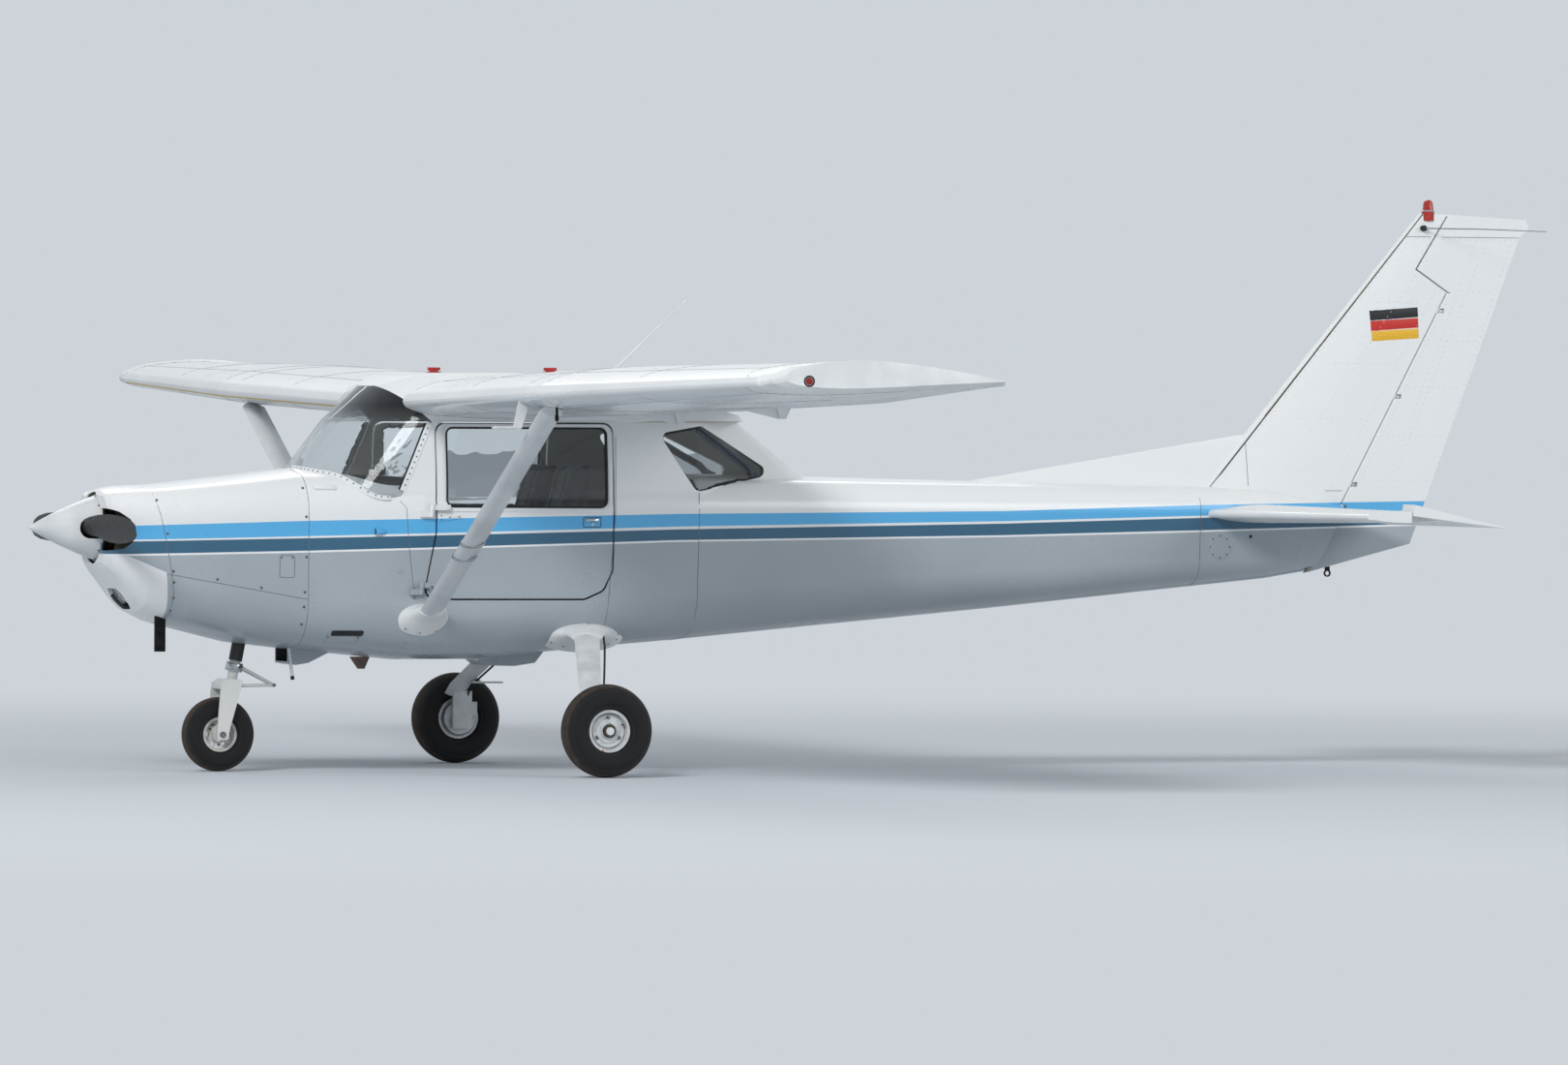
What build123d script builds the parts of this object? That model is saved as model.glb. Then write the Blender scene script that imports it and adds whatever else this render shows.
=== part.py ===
from build123d import *
import math
import os

# A two-seat, high-wing, strut-braced light aircraft on fixed nosewheel gear, in millimetres.
# X runs aft from the spinner's tip, Y to starboard and Z up from the ground.
# Every piece is moved at the end, so that the origin lies on the ground below the middle.

# Overall places
TAIL_TIP_X = 7340.0        # rudder tip, aft of the spinner's tip
THRUST_Z = 1113.0          # propeller axis above the ground
BOWL_FRONT_X = 345.0
FIREWALL_X = 1198.0
BULKHEAD_X = 3050.0        # aft wall of the cabin
CONE_END_X = 6740.0
GAP = 8.0                  # running gap round a moving panel
PIN_FIT = 0.08             # clearance of a pin in its bore

# Wall thicknesses
COWL_WALL = 6.0
CABIN_WALL = 30.0
CONE_WALL = 4.0
SURFACE_WALL = 3.0
SEAM = 0.3                 # between fixed pieces that only rest on each other
GLASS_OUT = 10.0           # how deep a pane sits in its frame
GLASS = 5.0
SCREEN = 8.0

# Propeller and spinner
SPINNER_LENGTH = 322.0
SPINNER_R = 152.0
SPINNER_WALL = 4.0
PROP_X = 260.0
HUB_R = 58.0
SLOT_HALF = 48.0           # half the width of the blade slots in the spinner
DRUM_R = 130.0
RING_R = 146.0
SHAFT_R = 45.0

# Wheels
MAIN_TYRE_R = 212.0
MAIN_TYRE_W = 158.0
MAIN_RIM_R = 97.0
MAIN_X = 2395.0
MAIN_Y = 1160.0
NOSE_TYRE_R = 170.0
NOSE_TYRE_W = 122.0
NOSE_RIM_R = 80.0
NOSE_X = 900.0
AXLE_R = 18.0
STEER_TOP = (994.0, 570.0)     # two points of the steering axis in side view
STEER_LOW = (967.0, 428.0)
HOUSING_R = 31.0
PISTON_R = 24.0
COLLAR_R = 38.0
LINK_APEX = (1163.0, 394.0)    # where the two torque links meet

# Wing
WING_ROOT_Y = 500.0
WING_BREAK_Y = 2550.0
WING_RIB_Y = 4850.0
WING_TIP_Y = 5080.0
ROOT_CHORD = 1626.0
TIP_CHORD = 1130.0
WING_LE_X = 1624.0
TIP_LE_X = 1806.0
WING_Z = 1698.0
DIHEDRAL = 1.25
ROOT_INCIDENCE = 1.2
TIP_INCIDENCE = 0.6
FLAP_INNER_Y = 575.0
FLAP_OUTER_Y = 2540.0
FLAP_UPPER_X = 2850.0
FLAP_AXIS_DROP = 35.0      # flap axis below the wing's lower skin
AILERON_SHARE = 0.74       # hinge place along the chord
AILERON_INNER_Y = 2570.0
AILERON_OUTER_Y = 4700.0

# Lift strut
STRUT_CHORD = 112.0
STRUT_THICKNESS = 44.0
STRUT_LOW = (1742.0, 480.0, 690.0)
STRUT_HIGH = (1748.0, 2350.0, 1660.0)

CUFF = [
    # distance from the middle, centre x and z, half length, half height
    (480, 1731, 711, 137, 82), (515, 1733, 720, 112, 60), (550, 1737, 732, 84, 41), (592, 1742, 749, 67, 29),
]
TIE_DOWN = (1760.0, 2395.0, 1632.0)
EYE_R = 10.0
CAP_X = 2200.0
CAP_Y = 900.0
PITOT = (1520.0, 2200.0, 1586.0)

# Tail
STAB_Z = 1192.0
STAB_HALF_SPAN = 1524.0
STAB_ROOT_LE_X = 5640.0
STAB_TIP_LE_X = 5940.0
STAB_HINGE_X = 6350.0
ELEVATOR_TE_X = 6620.0
STAB_ROOT_T = 86.0
STAB_TIP_T = 50.0
HORN_WIDTH = 150.0
HORN_LE_X = 6165.0
ELEVATOR_DROOP = 10.0
ELEVATOR_ROOT_Y = 82.0
TORQUE_TUBE_R = 17.0
FIN_HINGE = ((6405.0, 1241.0), (6931.0, 2233.0))
HINGE_PIN_R = 6.0
HINGE_LUG_T = 6.0
FIN_OUTLINE = [
    (5200, 900), (6180, 908), (6738, 1052), (7288, 2502), (7338, 2540), (7317, 2582), (6914, 2604),
    (6700, 2608), (5200, 2608),
]
HORN_LINE = ((6759, 2346), (6931, 2233))
BEACON = (6822.0, 2610.0)
TAIL_EYE = (6325.0, 912.0)

# Doors
DOOR_OUTLINE = [
    (1724, 800), (2490, 800), (2578, 838), (2622, 930), (2622, 1597), (1782, 1597), (1782, 1100),
]
DOOR_WINDOW = [(1824, 1214), (2600, 1212), (2600, 1585), (1824, 1585)]
DOOR_AXIS = ((1706.0, 541.0, 845.0), (1751.0, 553.0, 1200.0))
KNUCKLE_R = 11.0
PANEL_AFT = 1655.0
KNUCKLE_PIN_R = 4.0

os.makedirs("parts", exist_ok=True)
PARTS = {}


def flat(shape):
    """One shape out of whatever a cut, a common part or a list gives."""
    if isinstance(shape, (list, tuple)):
        solids = [s for item in shape for s in item.solids()]
    else:
        solids = shape.solids()
    solids = [s for s in solids if s.volume > 20.0]
    return solids[0] if len(solids) == 1 else Compound(children=solids)


def keep(name, shape):
    PARTS[name] = Pos(-TAIL_TIP_X / 2, 0, 0) * flat(shape)
    return shape


def mirrored(shape):
    return flat(mirror(flat(shape), about=Plane.XZ))


def common(a, b):
    return flat(flat(a) & flat(b))


def less(a, *tools):
    for tool in tools:
        a = flat(flat(a) - flat(tool))
    return a


def joined(*shapes):
    body = flat(shapes[0])
    for other in shapes[1:]:
        body = flat(body + flat(other))
    return body


# Outlines are a start point and steps: (point) for a line, (via, point) for an arc.
def edges_of(start, steps, place):
    edges = []
    here = start
    for step in steps:
        if isinstance(step[0], tuple):
            via, end = step
            edges.append(Edge.make_three_point_arc(place(*here), place(*via), place(*end)))
        else:
            end = step
            edges.append(Edge.make_line(place(*here), place(*end)))
        here = end
    return edges


def outline_face(start, steps, place):
    return Face(Wire(edges_of(start, steps, place)))


def polygon_face(points, place):
    return Face(Wire.make_polygon([place(*p) for p in points], close=True))


def on_x(x):
    return lambda y, z: Vector(x, y, z)


def on_y(y):
    return lambda x, z: Vector(x, y, z)


def on_z(z):
    return lambda x, y: Vector(x, y, z)


def tangent_via(start, direction, end):
    """Middle point of the arc that leaves start along direction and reaches end."""
    dx, dy = end[0] - start[0], end[1] - start[1]
    length = math.hypot(dx, dy)
    turn = math.atan2(dy, dx) - math.atan2(direction[1], direction[0])
    turn = (turn + math.pi) % (2 * math.pi) - math.pi
    heading = math.atan2(direction[1], direction[0]) + turn / 2
    reach = length / 2 / math.cos(turn / 2)
    return (start[0] + reach * math.cos(heading), start[1] + reach * math.sin(heading))


def side_prism(points, y0, y1, radius=0.0):
    """A side-view polygon in X and Z, pushed across from y0 to y1."""
    face = polygon_face(points, on_y(y0))
    if radius:
        face = face.fillet_2d(radius, face.vertices())
    return extrude(face, amount=abs(y1 - y0), dir=(0, 1 if y1 > y0 else -1, 0))


def box(x0, x1, y0, y1, z0, z1):
    return Pos((x0 + x1) / 2, (y0 + y1) / 2, (z0 + z1) / 2) * Box(x1 - x0, y1 - y0, z1 - z0)


def rod(start, end, radius, end_radius=None):
    """A round bar, or a cone, between two points."""
    a, b = Vector(*start), Vector(*end)
    length = (b - a).length
    plane = Plane(origin=a, z_dir=(b - a).normalized())
    if end_radius is None:
        bar = Cylinder(radius, length, align=(Align.CENTER, Align.CENTER, Align.MIN))
    else:
        bar = Cone(radius, end_radius, length, align=(Align.CENTER, Align.CENTER, Align.MIN))
    return plane * bar


# Fuselage sections, from the cowling's front to the tail. Columns: x, top, crown height, side's
# upper half-width and height, side's lower half-width and height, keel height, bottom.
HULL = [
    (1198, 1388, 1366, 452, 1170, 446, 790, 582, 562),
    (1720, 1388, 1368, 535, 1200, 524, 760, 536, 512),
    (2120, 1386, 1366, 540, 1200, 528, 760, 540, 514),
    (2620, 1380, 1360, 540, 1195, 520, 790, 590, 565),
    (3050, 1372, 1352, 500, 1190, 474, 820, 628, 600),
    (3634, 1360, 1342, 420, 1195, 392, 860, 682, 655),
    (4600, 1340, 1326, 285, 1190, 262, 920, 768, 745),
    (6000, 1312, 1304, 112, 1200, 102, 990, 900, 888),
    (6380, 1242, 1236, 66, 1170, 60, 1020, 960, 950),
    (6740, 1180, 1176, 36, 1145, 34, 1085, 1054, 1050),
]
COWL = [
    (300, 1270, 1258, 252, 1120, 232, 1060, 962, 950),
    (318, 1283, 1270, 290, 1125, 268, 1035, 938, 925),
    (345, 1294, 1280, 320, 1130, 300, 1010, 908, 894),
    (385, 1302, 1287, 346, 1137, 328, 985, 860, 845),
    (430, 1306, 1291, 366, 1143, 350, 960, 795, 778),
    (475, 1308, 1293, 380, 1146, 366, 940, 744, 727),
    (560, 1312, 1297, 397, 1149, 385, 905, 704, 685),
    (656, 1322, 1306, 410, 1152, 400, 875, 678, 659),
    (931, 1354, 1335, 434, 1162, 427, 830, 612, 592),
    (1198, 1388, 1366, 452, 1170, 446, 790, 582, 562),
]
CORNER = 0.92              # how wide a shoulder is for its height

# Nose bowl: its rear seam, the side inlets and the lamp recess in the chin, in side view
BOWL_SEAM = [(478, 1500), (484, 1309), (528, 1122), (560, 960), (582, 816), (586, 668), (586, 400)]
INLET = [(240, 1225), (340, 1190), (385, 1155), (405, 1105), (398, 1050), (365, 1022), (240, 1000)]
LAMP_X = 425.0
LAMP_Z = 788.0
LAMP_WIDE = 214.0
LAMP_HIGH = 120.0
LAMP_DEEP = 48.0


def row_at(table, x):
    """A section of the table at any x, by straight lines between its rows."""
    if x <= table[0][0]:
        return table[0]
    for a, b in zip(table, table[1:]):
        if a[0] <= x <= b[0]:
            t = (x - a[0]) / (b[0] - a[0])
            return tuple(p + (q - p) * t for p, q in zip(a, b))
    return table[-1]


def hull_face(row, inset=0.0):
    x, top, crown_z, up_y, up_z, low_y, low_z, keel_z, bottom = row
    top, crown_z = top - inset, crown_z - inset
    up_y, low_y = up_y - inset, low_y - inset
    keel_z, bottom = keel_z + inset, bottom + inset
    crown_y = up_y - CORNER * (crown_z - up_z)
    keel_y = low_y - CORNER * (low_z - keel_z)
    side = (up_y - low_y, up_z - low_z)
    shoulder = tangent_via((up_y, up_z), side, (crown_y, crown_z))
    bilge = tangent_via((low_y, low_z), (-side[0], -side[1]), (keel_y, keel_z))
    a, b, c, d = (crown_y, crown_z), (up_y, up_z), (low_y, low_z), (keel_y, keel_z)

    def flip(p):
        return (-p[0], p[1])

    steps = [
        (flip(shoulder), flip(a)), ((0, top), a), (shoulder, b), c,
        (bilge, d), ((0, bottom), flip(d)), (flip(bilge), flip(c)), flip(b),
    ]
    return outline_face(flip(b), steps, on_x(x))


def hull(table, x0, x1, inset=0.0):
    rows = [row_at(table, x0)] + [r for r in table if x0 < r[0] < x1] + [row_at(table, x1)]
    return loft([hull_face(r, inset) for r in rows], ruled=True)


# Cabin top in plan, level by level. Columns: z, front at the middle, front corner's x and
# half-width, half-width at the doors, x and half-width where it narrows, rear x and half-width.
LEVELS = [
    (1150, 1049, 1570, 490, 526, 3050, 485, 3650, 235),
    (1290, 1158, 1629, 508, 533, 3050, 494, 3650, 215),
    (1385, 1233, 1669, 508, 527, 3050, 482, 3650, 205),
    (1606, 1405, 1762, 500, 504, 3050, 465, 3650, 200),
    (1614, 1412, 1766, 500, 500, 3235, 500, 3650, 260),
    (1777, 1599, 1786, 500, 500, 3235, 500, 3650, 260),
    (1850, 1700, 1789, 500, 500, 3235, 500, 3650, 260),
]
DOOR_POST_X = 1796.0
ROOF_LINE = [
    (1590, 1765), (1720, 1812), (1900, 1828), (2150, 1830), (2500, 1800), (2900, 1728),
    (3235, 1642), (3262, 1614), (3634, 1359), (3660, 1341),
]


def cabin_top(inset=0.0):
    faces = []
    for z, front, corner, half1, half, x3, half3, rear, half_rear in LEVELS:
        front, corner, post = front + 1.25 * inset, corner + 0.7 * inset, DOOR_POST_X + 0.7 * inset
        half1, half, half3 = half1 - inset, half - inset, half3 - inset
        half_rear = half_rear - inset
        steps = [
            ((front, 0), (corner, half1)), (post, half), (2620, half), (x3, half3), (rear, half_rear),
            (rear, -half_rear), (x3, -half3), (2620, -half), (post, -half), (corner, -half1),
        ]
        faces.append(outline_face((corner, -half1), steps, on_z(z)))
    body = loft(faces, ruled=True)
    roof = [(x - 0.9 * inset if x > 3240 else x, z - inset) for x, z in ROOF_LINE]
    front = FIREWALL_X + inset
    under = [(front, 1100), (front, roof[0][1])] + roof + [(3700, 1100)]
    return common(body, side_prism(under, -700, 700))


def cabin_solid(inset=0.0):
    shell = hull(HULL, FIREWALL_X + inset, BULKHEAD_X - inset, inset)
    return joined(shell, cabin_top(inset))


# Wing and tail sections, chord one. Columns as outline steps, from the trailing edge over the top.
FOIL_START = (1.0, 0.0016)
FOIL = [
    ((0.8, 0.0378), (0.55, 0.0685)), ((0.3, 0.0790), (0.1, 0.0563)),
    ((0.05, 0.0413), (0.02, 0.0268)), ((0.005, 0.0137), (0.0, 0.0)),
    ((0.005, -0.0112), (0.02, -0.0205)), ((0.05, -0.0301), (0.1, -0.0375)),
    ((0.22, -0.0424), (0.4, -0.0380)), (1.0, -0.0016), (1.0, 0.0016),
]


def scaled(point, place):
    if isinstance(point[0], tuple):
        return tuple(place(*p) for p in point)
    return place(*point)


def foil_face(le_x, y, le_z, chord, incidence):
    lean = math.radians(incidence)

    def turn(u, w):
        x = le_x + chord * (u * math.cos(lean) + w * math.sin(lean))
        return (x, le_z + chord * (w * math.cos(lean) - u * math.sin(lean)))

    return outline_face(turn(*FOIL_START), [scaled(s, turn) for s in FOIL], on_y(y))


def wing_station(y):
    """Leading edge, height, chord and incidence of the wing at a distance from the middle."""
    share = max(0.0, (y - WING_BREAK_Y) / (WING_RIB_Y - WING_BREAK_Y))
    le_x = WING_LE_X + share * (TIP_LE_X - WING_LE_X)
    le_z = WING_Z + (y - WING_ROOT_Y) * math.tan(math.radians(DIHEDRAL))
    chord = ROOT_CHORD + share * (TIP_CHORD - ROOT_CHORD)
    return le_x, le_z, chord, ROOT_INCIDENCE + share * (TIP_INCIDENCE - ROOT_INCIDENCE)


def wing_face(y):
    le_x, le_z, chord, incidence = wing_station(y)
    return foil_face(le_x, y, le_z, chord, incidence)


def wing_point(y, u, w):
    le_x, le_z, chord, incidence = wing_station(y)
    lean = math.radians(incidence)
    x = le_x + chord * (u * math.cos(lean) + w * math.sin(lean))
    return (x, le_z + chord * (w * math.cos(lean) - u * math.sin(lean)))


def tail_face(le, te, centre, thickness, place):
    """A symmetrical section from le to te; place puts (along, across) into space."""
    chord, half = te - le, thickness / 2

    def point(u, w):
        return (le + chord * u, centre + half * w)

    steps = [
        (0.35, 1.0), ((0.13, 0.80), (0.03, 0.42)), ((0.0, 0.0), (0.03, -0.42)),
        ((0.13, -0.80), (0.35, -1.0)), (1.0, -0.08), (1.0, 0.08),
    ]
    return outline_face(point(1.0, 0.08), [scaled(s, point) for s in steps], place)


def hinge_region(axis, radii, stations, place, far, half):
    """All that lies aft of a hinge line, and a round nose about it."""
    quads, rounds = [], []
    for s in stations:
        t = (s - axis[0][2]) / (axis[1][2] - axis[0][2])
        x = axis[0][0] + t * (axis[1][0] - axis[0][0])
        c = axis[0][1] + t * (axis[1][1] - axis[0][1])
        r = radii[0] + t * (radii[1] - radii[0])
        quads.append(polygon_face([(x, c - half), (far, c - half), (far, c + half), (x, c + half)], place(s)))
        ring = [((x, c + r), (x + r, c)), ((x, c - r), (x - r, c))]
        rounds.append(outline_face((x - r, c), ring, place(s)))
    return joined(loft(quads, ruled=True), loft(rounds, ruled=True))


def hinge_fittings(axis, s, reach, place, span):
    """A fixed lug with its pin, the notch and bores it needs, and the rib that carries the bores."""
    x, c = hinge_at(axis, s)
    lug = [(x - reach, c - 12), (x + 8, c - 8), (x + 8, c + 8), (x - reach, c + 12)]
    lug = polygon_face(lug, place(s - HINGE_LUG_T / 2))
    lug = extrude(lug, amount=HINGE_LUG_T, dir=span)
    low, high = s - 18, s + 18
    ends = []
    for t in (low, high):
        px, pc = hinge_at(axis, t)
        ends.append(tuple(place(t)(px, pc)))
    pin = rod(ends[0], ends[1], HINGE_PIN_R)
    bore = rod(ends[0], ends[1], HINGE_PIN_R + PIN_FIT)
    wide = HINGE_LUG_T + 16
    notch = [(x - reach, c - 60), (x + 14, c - 60), (x + 14, c + 60), (x - reach, c + 60)]
    notch = polygon_face(notch, place(s - wide / 2))
    notch = extrude(notch, amount=wide, dir=span)
    rib = [(x - reach, c - 60), (x + 30, c - 60), (x + 30, c + 60), (x - reach, c + 60)]
    rib = polygon_face(rib, place(s - 24))
    rib = extrude(rib, amount=48, dir=span)
    return joined(lug, pin), notch, bore, rib


def hang(fixed, moving, axis, stations, reach, place, span):
    """Puts hinge lugs on the fixed piece and matching notches and bores in the moving one."""
    for s in stations:
        lug, notch, bore, rib = hinge_fittings(axis, s, reach, place, span)
        moving = less(moving, notch, bore)
        fixed = joined(fixed, less(lug, fixed))
    return fixed, moving


# Nose bowl and cowling: aluminium and moulded skins, open at the firewall.
def build_cowling():
    outer = hull(COWL, COWL[0][0], FIREWALL_X)
    rows = [(COWL[0][0] + COWL_WALL,) + COWL[0][1:]] + COWL[1:-1] + [(FIREWALL_X + 1,) + COWL[-1][1:]]
    inner = loft([hull_face(r, COWL_WALL) for r in rows], ruled=True)
    shell = less(outer, inner)
    shell = less(shell, rod((250, 0, THRUST_Z), (420, 0, THRUST_Z), SPINNER_R + 12))
    for side in (-1, 1):
        y0, y1 = sorted((side * 150, side * 420))
        shell = less(shell, side_prism(INLET, y0, y1, 8))
    front = side_prism(BOWL_SEAM + [(200, 400), (200, 1500)], -600, 600)
    bowl = common(shell, front)
    rest = less(shell, front)
    bowl = lamp_recess(bowl, outer)
    above = [(400, 940), (545, 909), (FIREWALL_X + 5, 793), (FIREWALL_X + 5, 1500), (400, 1500)]
    above = side_prism(above, -600, 600)
    upper = common(rest, above)
    lower = less(rest, above)
    housing = steer_rod(400, 1100, HOUSING_R + 14)
    pipe = exhaust_pipe()
    lower = less(lower, housing, pipe)
    bowl = less(bowl, pipe)
    keep("nose_bowl", bowl)
    keep("landing_lamps", lamp_cans())
    keep("cowl_upper", upper)
    keep("cowl_lower", lower)
    keep("exhaust_pipe", less(pipe, rod((566, -200, 540), (566, -200, 900), 22)))
    engine = joined(box(560, 1120, -150, 150, 880, 1260), box(640, 1040, -360, 360, 980, 1150))
    engine = less(engine, rod((500, 0, THRUST_Z), (700, 0, THRUST_Z), SHAFT_R + PIN_FIT))
    engine = less(engine, pipe)
    for y in (-120, 120):
        for z in (930, 1200):
            engine = joined(engine, box(1110, FIREWALL_X, y - 20, y + 20, z - 20, z + 20))
    keep("engine_block", engine)


def lamp_place():
    """The plane of the chin's lamp opening, facing forward and down."""
    return Plane(origin=(LAMP_X, 0, LAMP_Z), x_dir=(0, 1, 0), z_dir=(-0.777, 0, -0.63))


def lamp_recess(bowl, outer):
    """A rounded pocket let into the chin, with its own thin wall."""
    well = lamp_place() * (Pos(0, 0, 40) * rounded_block(LAMP_WIDE, LAMP_HIGH, 2 * LAMP_DEEP + 80, 60))
    lining = lamp_place() * (
        Pos(0, 0, 40) * rounded_block(LAMP_WIDE + 8, LAMP_HIGH + 8, 2 * LAMP_DEEP + 88, 64)
    )
    return less(joined(bowl, common(lining, outer)), well)


def lamp_cans():
    cans = []
    for side in (-1, 1):
        can = Cylinder(46, 26) - Pos(0, 0, 3) * Cylinder(42, 26)
        cans.append(lamp_place() * (Pos(side * 51, 0, SEAM + 13 - LAMP_DEEP) * can))
    return Compound(children=[flat(c) for c in cans])


def rounded_block(wide, high, deep, radius):
    sketch = RectangleRounded(wide, high, min(radius, high / 2 - 1))
    return extrude(sketch, amount=deep / 2, both=True)


def exhaust_pipe():
    return joined(rod((566, -200, 552), (566, -200, 900), 26), box(566, 700, -226, -174, 870, 900))


def steer_point(z, offset=0.0):
    t = (z - STEER_LOW[1]) / (STEER_TOP[1] - STEER_LOW[1])
    return (STEER_LOW[0] + t * (STEER_TOP[0] - STEER_LOW[0]) + offset, 0, z)


def steer_rod(z0, z1, radius):
    return rod(steer_point(z0), steer_point(z1), radius)


# Spinner, two-blade propeller and crankshaft: turned and spun aluminium.
BLADE = [
    # radius, chord, thickness, pitch angle
    (40, 84, 66, 50), (110, 90, 48, 43), (200, 120, 27, 33), (340, 137, 19, 24),
    (520, 140, 14, 18), (700, 122, 10, 14), (820, 92, 7, 12), (874, 52, 4, 11.5),
]
SPINNER_SIDE = [((3, 6), (9, 11)), ((195, 103), (SPINNER_LENGTH, SPINNER_R))]


def build_propeller():
    nose = SPINNER_SIDE + [(SPINNER_LENGTH, 0), (0, 0)]
    axis = Axis((0, 0, THRUST_Z), (1, 0, 0))

    def above(x, r):
        return Vector(x, 0, THRUST_Z + r)

    def shrunk(x, r):
        k = (SPINNER_R - SPINNER_WALL) / SPINNER_R
        inner = (SPINNER_LENGTH - 2 * SPINNER_WALL) / SPINNER_LENGTH
        return Vector(SPINNER_WALL + x * inner, 0, THRUST_Z + r * k)

    spinner = revolve(outline_face((0, 0), nose, above), axis)
    hollow = revolve(outline_face((0, 0), nose, shrunk), axis)
    spinner = less(spinner, hollow)
    for side in (-1, 1):
        y0, y1 = sorted((side * 60, side * 200))
        slot = box(PROP_X, SPINNER_LENGTH + 1, y0, y1, THRUST_Z - SLOT_HALF, THRUST_Z + SLOT_HALF)
        slot = joined(slot, rod((PROP_X, y0, THRUST_Z), (PROP_X, y1, THRUST_Z), SLOT_HALF))
        spinner = less(spinner, slot)
    hub = rod((225, 0, THRUST_Z), (SPINNER_LENGTH - SPINNER_WALL, 0, THRUST_Z), HUB_R)
    blades = []
    for flip in (1, -1):
        faces = []
        for radius, chord, thick, angle in BLADE:
            a = math.radians(angle)

            def place(u, w, a=a, radius=radius, flip=flip):
                z = THRUST_Z + flip * (u * math.cos(a) - w * math.sin(a))
                x = PROP_X + u * math.sin(a) + w * math.cos(a)
                return Vector(x, flip * radius, z)

            half = chord / 2
            steps = [((0, -thick * 0.65), (half, 0)), ((0, thick * 0.35), (-half, 0))]
            faces.append(outline_face((-half, 0), steps, place))
        blades.append(loft(faces, ruled=True))
    propeller = joined(hub, *blades)
    shaft = joined(
        rod((SPINNER_LENGTH, 0, THRUST_Z), (348, 0, THRUST_Z), DRUM_R),
        rod((348, 0, THRUST_Z), (359, 0, THRUST_Z), RING_R),
        rod((359, 0, THRUST_Z), (640, 0, THRUST_Z), SHAFT_R),
        rod((368, 0, THRUST_Z), (378, 0, THRUST_Z), DRUM_R),
    )
    keep("spinner", spinner)
    keep("propeller", less(propeller, spinner))
    keep("crankshaft", shaft)


# Cabin: sheet on frames, split where the real panels meet.
def build_cabin():
    outer = cabin_solid()
    inner = cabin_solid(CABIN_WALL)
    cone = hull(HULL, BULKHEAD_X, 4600)
    outer = less(outer, cone)
    wall = less(outer, inner)
    screen_line = [(1000, 1190), (1587, 1190), (1629, 1290), (1762, 1606), (1590, 1777), (1000, 1777)]
    screen_region = side_prism(screen_line, -700, 700)
    deck_top = hull(HULL, FIREWALL_X, 1720)
    screen_skin = less(cabin_top(), cabin_top(SCREEN), deck_top)
    screen_skin = less(screen_skin, box(900, FIREWALL_X, -700, 700, 1000, 1900))
    windscreen = common(screen_skin, screen_region)
    rear_points = [(3292, 1575), (3600, 1363), (3700, 1363), (3700, 1575)]
    rear_cut = side_prism([(3280, 1560), (3596, 1380), (3750, 1480), (3400, 1700)], -230, 230)
    rear_cut = common(rear_cut, box(3200, 3800, -230, 230, 1300, 1700))
    quarter = [(2856, 1556), (3036, 1292), (3480, 1372), (3070, 1592)]
    quarter_prism = side_prism(quarter, -700, -150, 28)
    layer = less(outer_layer(GLASS_OUT), outer_layer(GLASS_OUT + GLASS))
    door = side_prism(DOOR_OUTLINE, -800, -380, 45)
    door_hole = side_prism(grown(DOOR_OUTLINE, GAP), -800, -380, 50)
    window = side_prism(DOOR_WINDOW, -800, -380, 40)
    left_door = less(common(wall, door), window)
    left_door_glass = common(layer, window)
    quarter_glass = less(common(layer, quarter_prism), cone)
    rear_glass = common(less(cabin_top(GLASS_OUT), cabin_top(GLASS_OUT + GLASS)), rear_cut)
    fixed_hinge, left_door = door_hinges(left_door, outer)
    wall = less(wall, less(screen_region, deck_top), door_hole, mirrored(door_hole))
    wall = less(wall, quarter_prism, mirrored(quarter_prism), rear_cut)
    deck_front = FIREWALL_X + CABIN_WALL
    deck = side_prism([(deck_front, 1330), (1645, 1330), (1670, 1392), (deck_front, 1392)], -700, 700)
    roof = [(1500, 1608), (3050, 1608), (3262, 1560), (3500, 1700), (3500, 1900), (1500, 1900)]
    roof = side_prism(roof, -700, 700)
    belly = box(1100, 3060, -700, 700, 400, 660)
    keep("windscreen", windscreen)
    keep("cabin_deck", common(wall, deck))
    keep("cabin_roof", common(wall, roof))
    keep("cabin_belly", joined(common(wall, belly), *belly_fairings(outer)))
    sides = less(wall, deck, roof, belly)
    firewall = common(sides, box(FIREWALL_X, FIREWALL_X + CABIN_WALL, -700, 700, 400, 1500))
    bulkhead = common(sides, box(BULKHEAD_X - CABIN_WALL, BULKHEAD_X, -430, 430, 400, 1290))
    sides = less(sides, firewall, bulkhead)
    keep("firewall", firewall)
    keep("rear_bulkhead", bulkhead)
    left = joined(common(sides, box(1000, 3900, -700, 0, 400, 1900)), fixed_hinge)
    keep("cabin_side_left", left)
    keep("cabin_side_right", mirrored(left))
    keep("rear_windows", Compound(children=[flat(quarter_glass), mirrored(quarter_glass), flat(rear_glass)]))
    for name, shape in (("door", left_door), ("door_glass", left_door_glass)):
        keep(name + "_left", shape)
        keep(name + "_right", mirrored(shape))


def belly_fairings(outer):
    """The cooling-air outlet behind the firewall, and the cover between the main legs."""
    front = FIREWALL_X + 4
    outlet = [(front, 600), (front, 496), (1240, 488), (1300, 498), (1396, 545), (1396, 600)]
    outlet = side_prism(outlet, -105, 105)
    throat = side_prism([(1100, 590), (1100, 508), (1240, 502), (1300, 520), (1330, 590)], -93, 93)
    cover = [(2108, 560), (2116, 506), (2150, 485), (2290, 482), (2390, 497), (2440, 560)]
    cover = side_prism(cover, -95, 95)
    return less(outlet, throat, outer), less(cover, outer)


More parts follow.
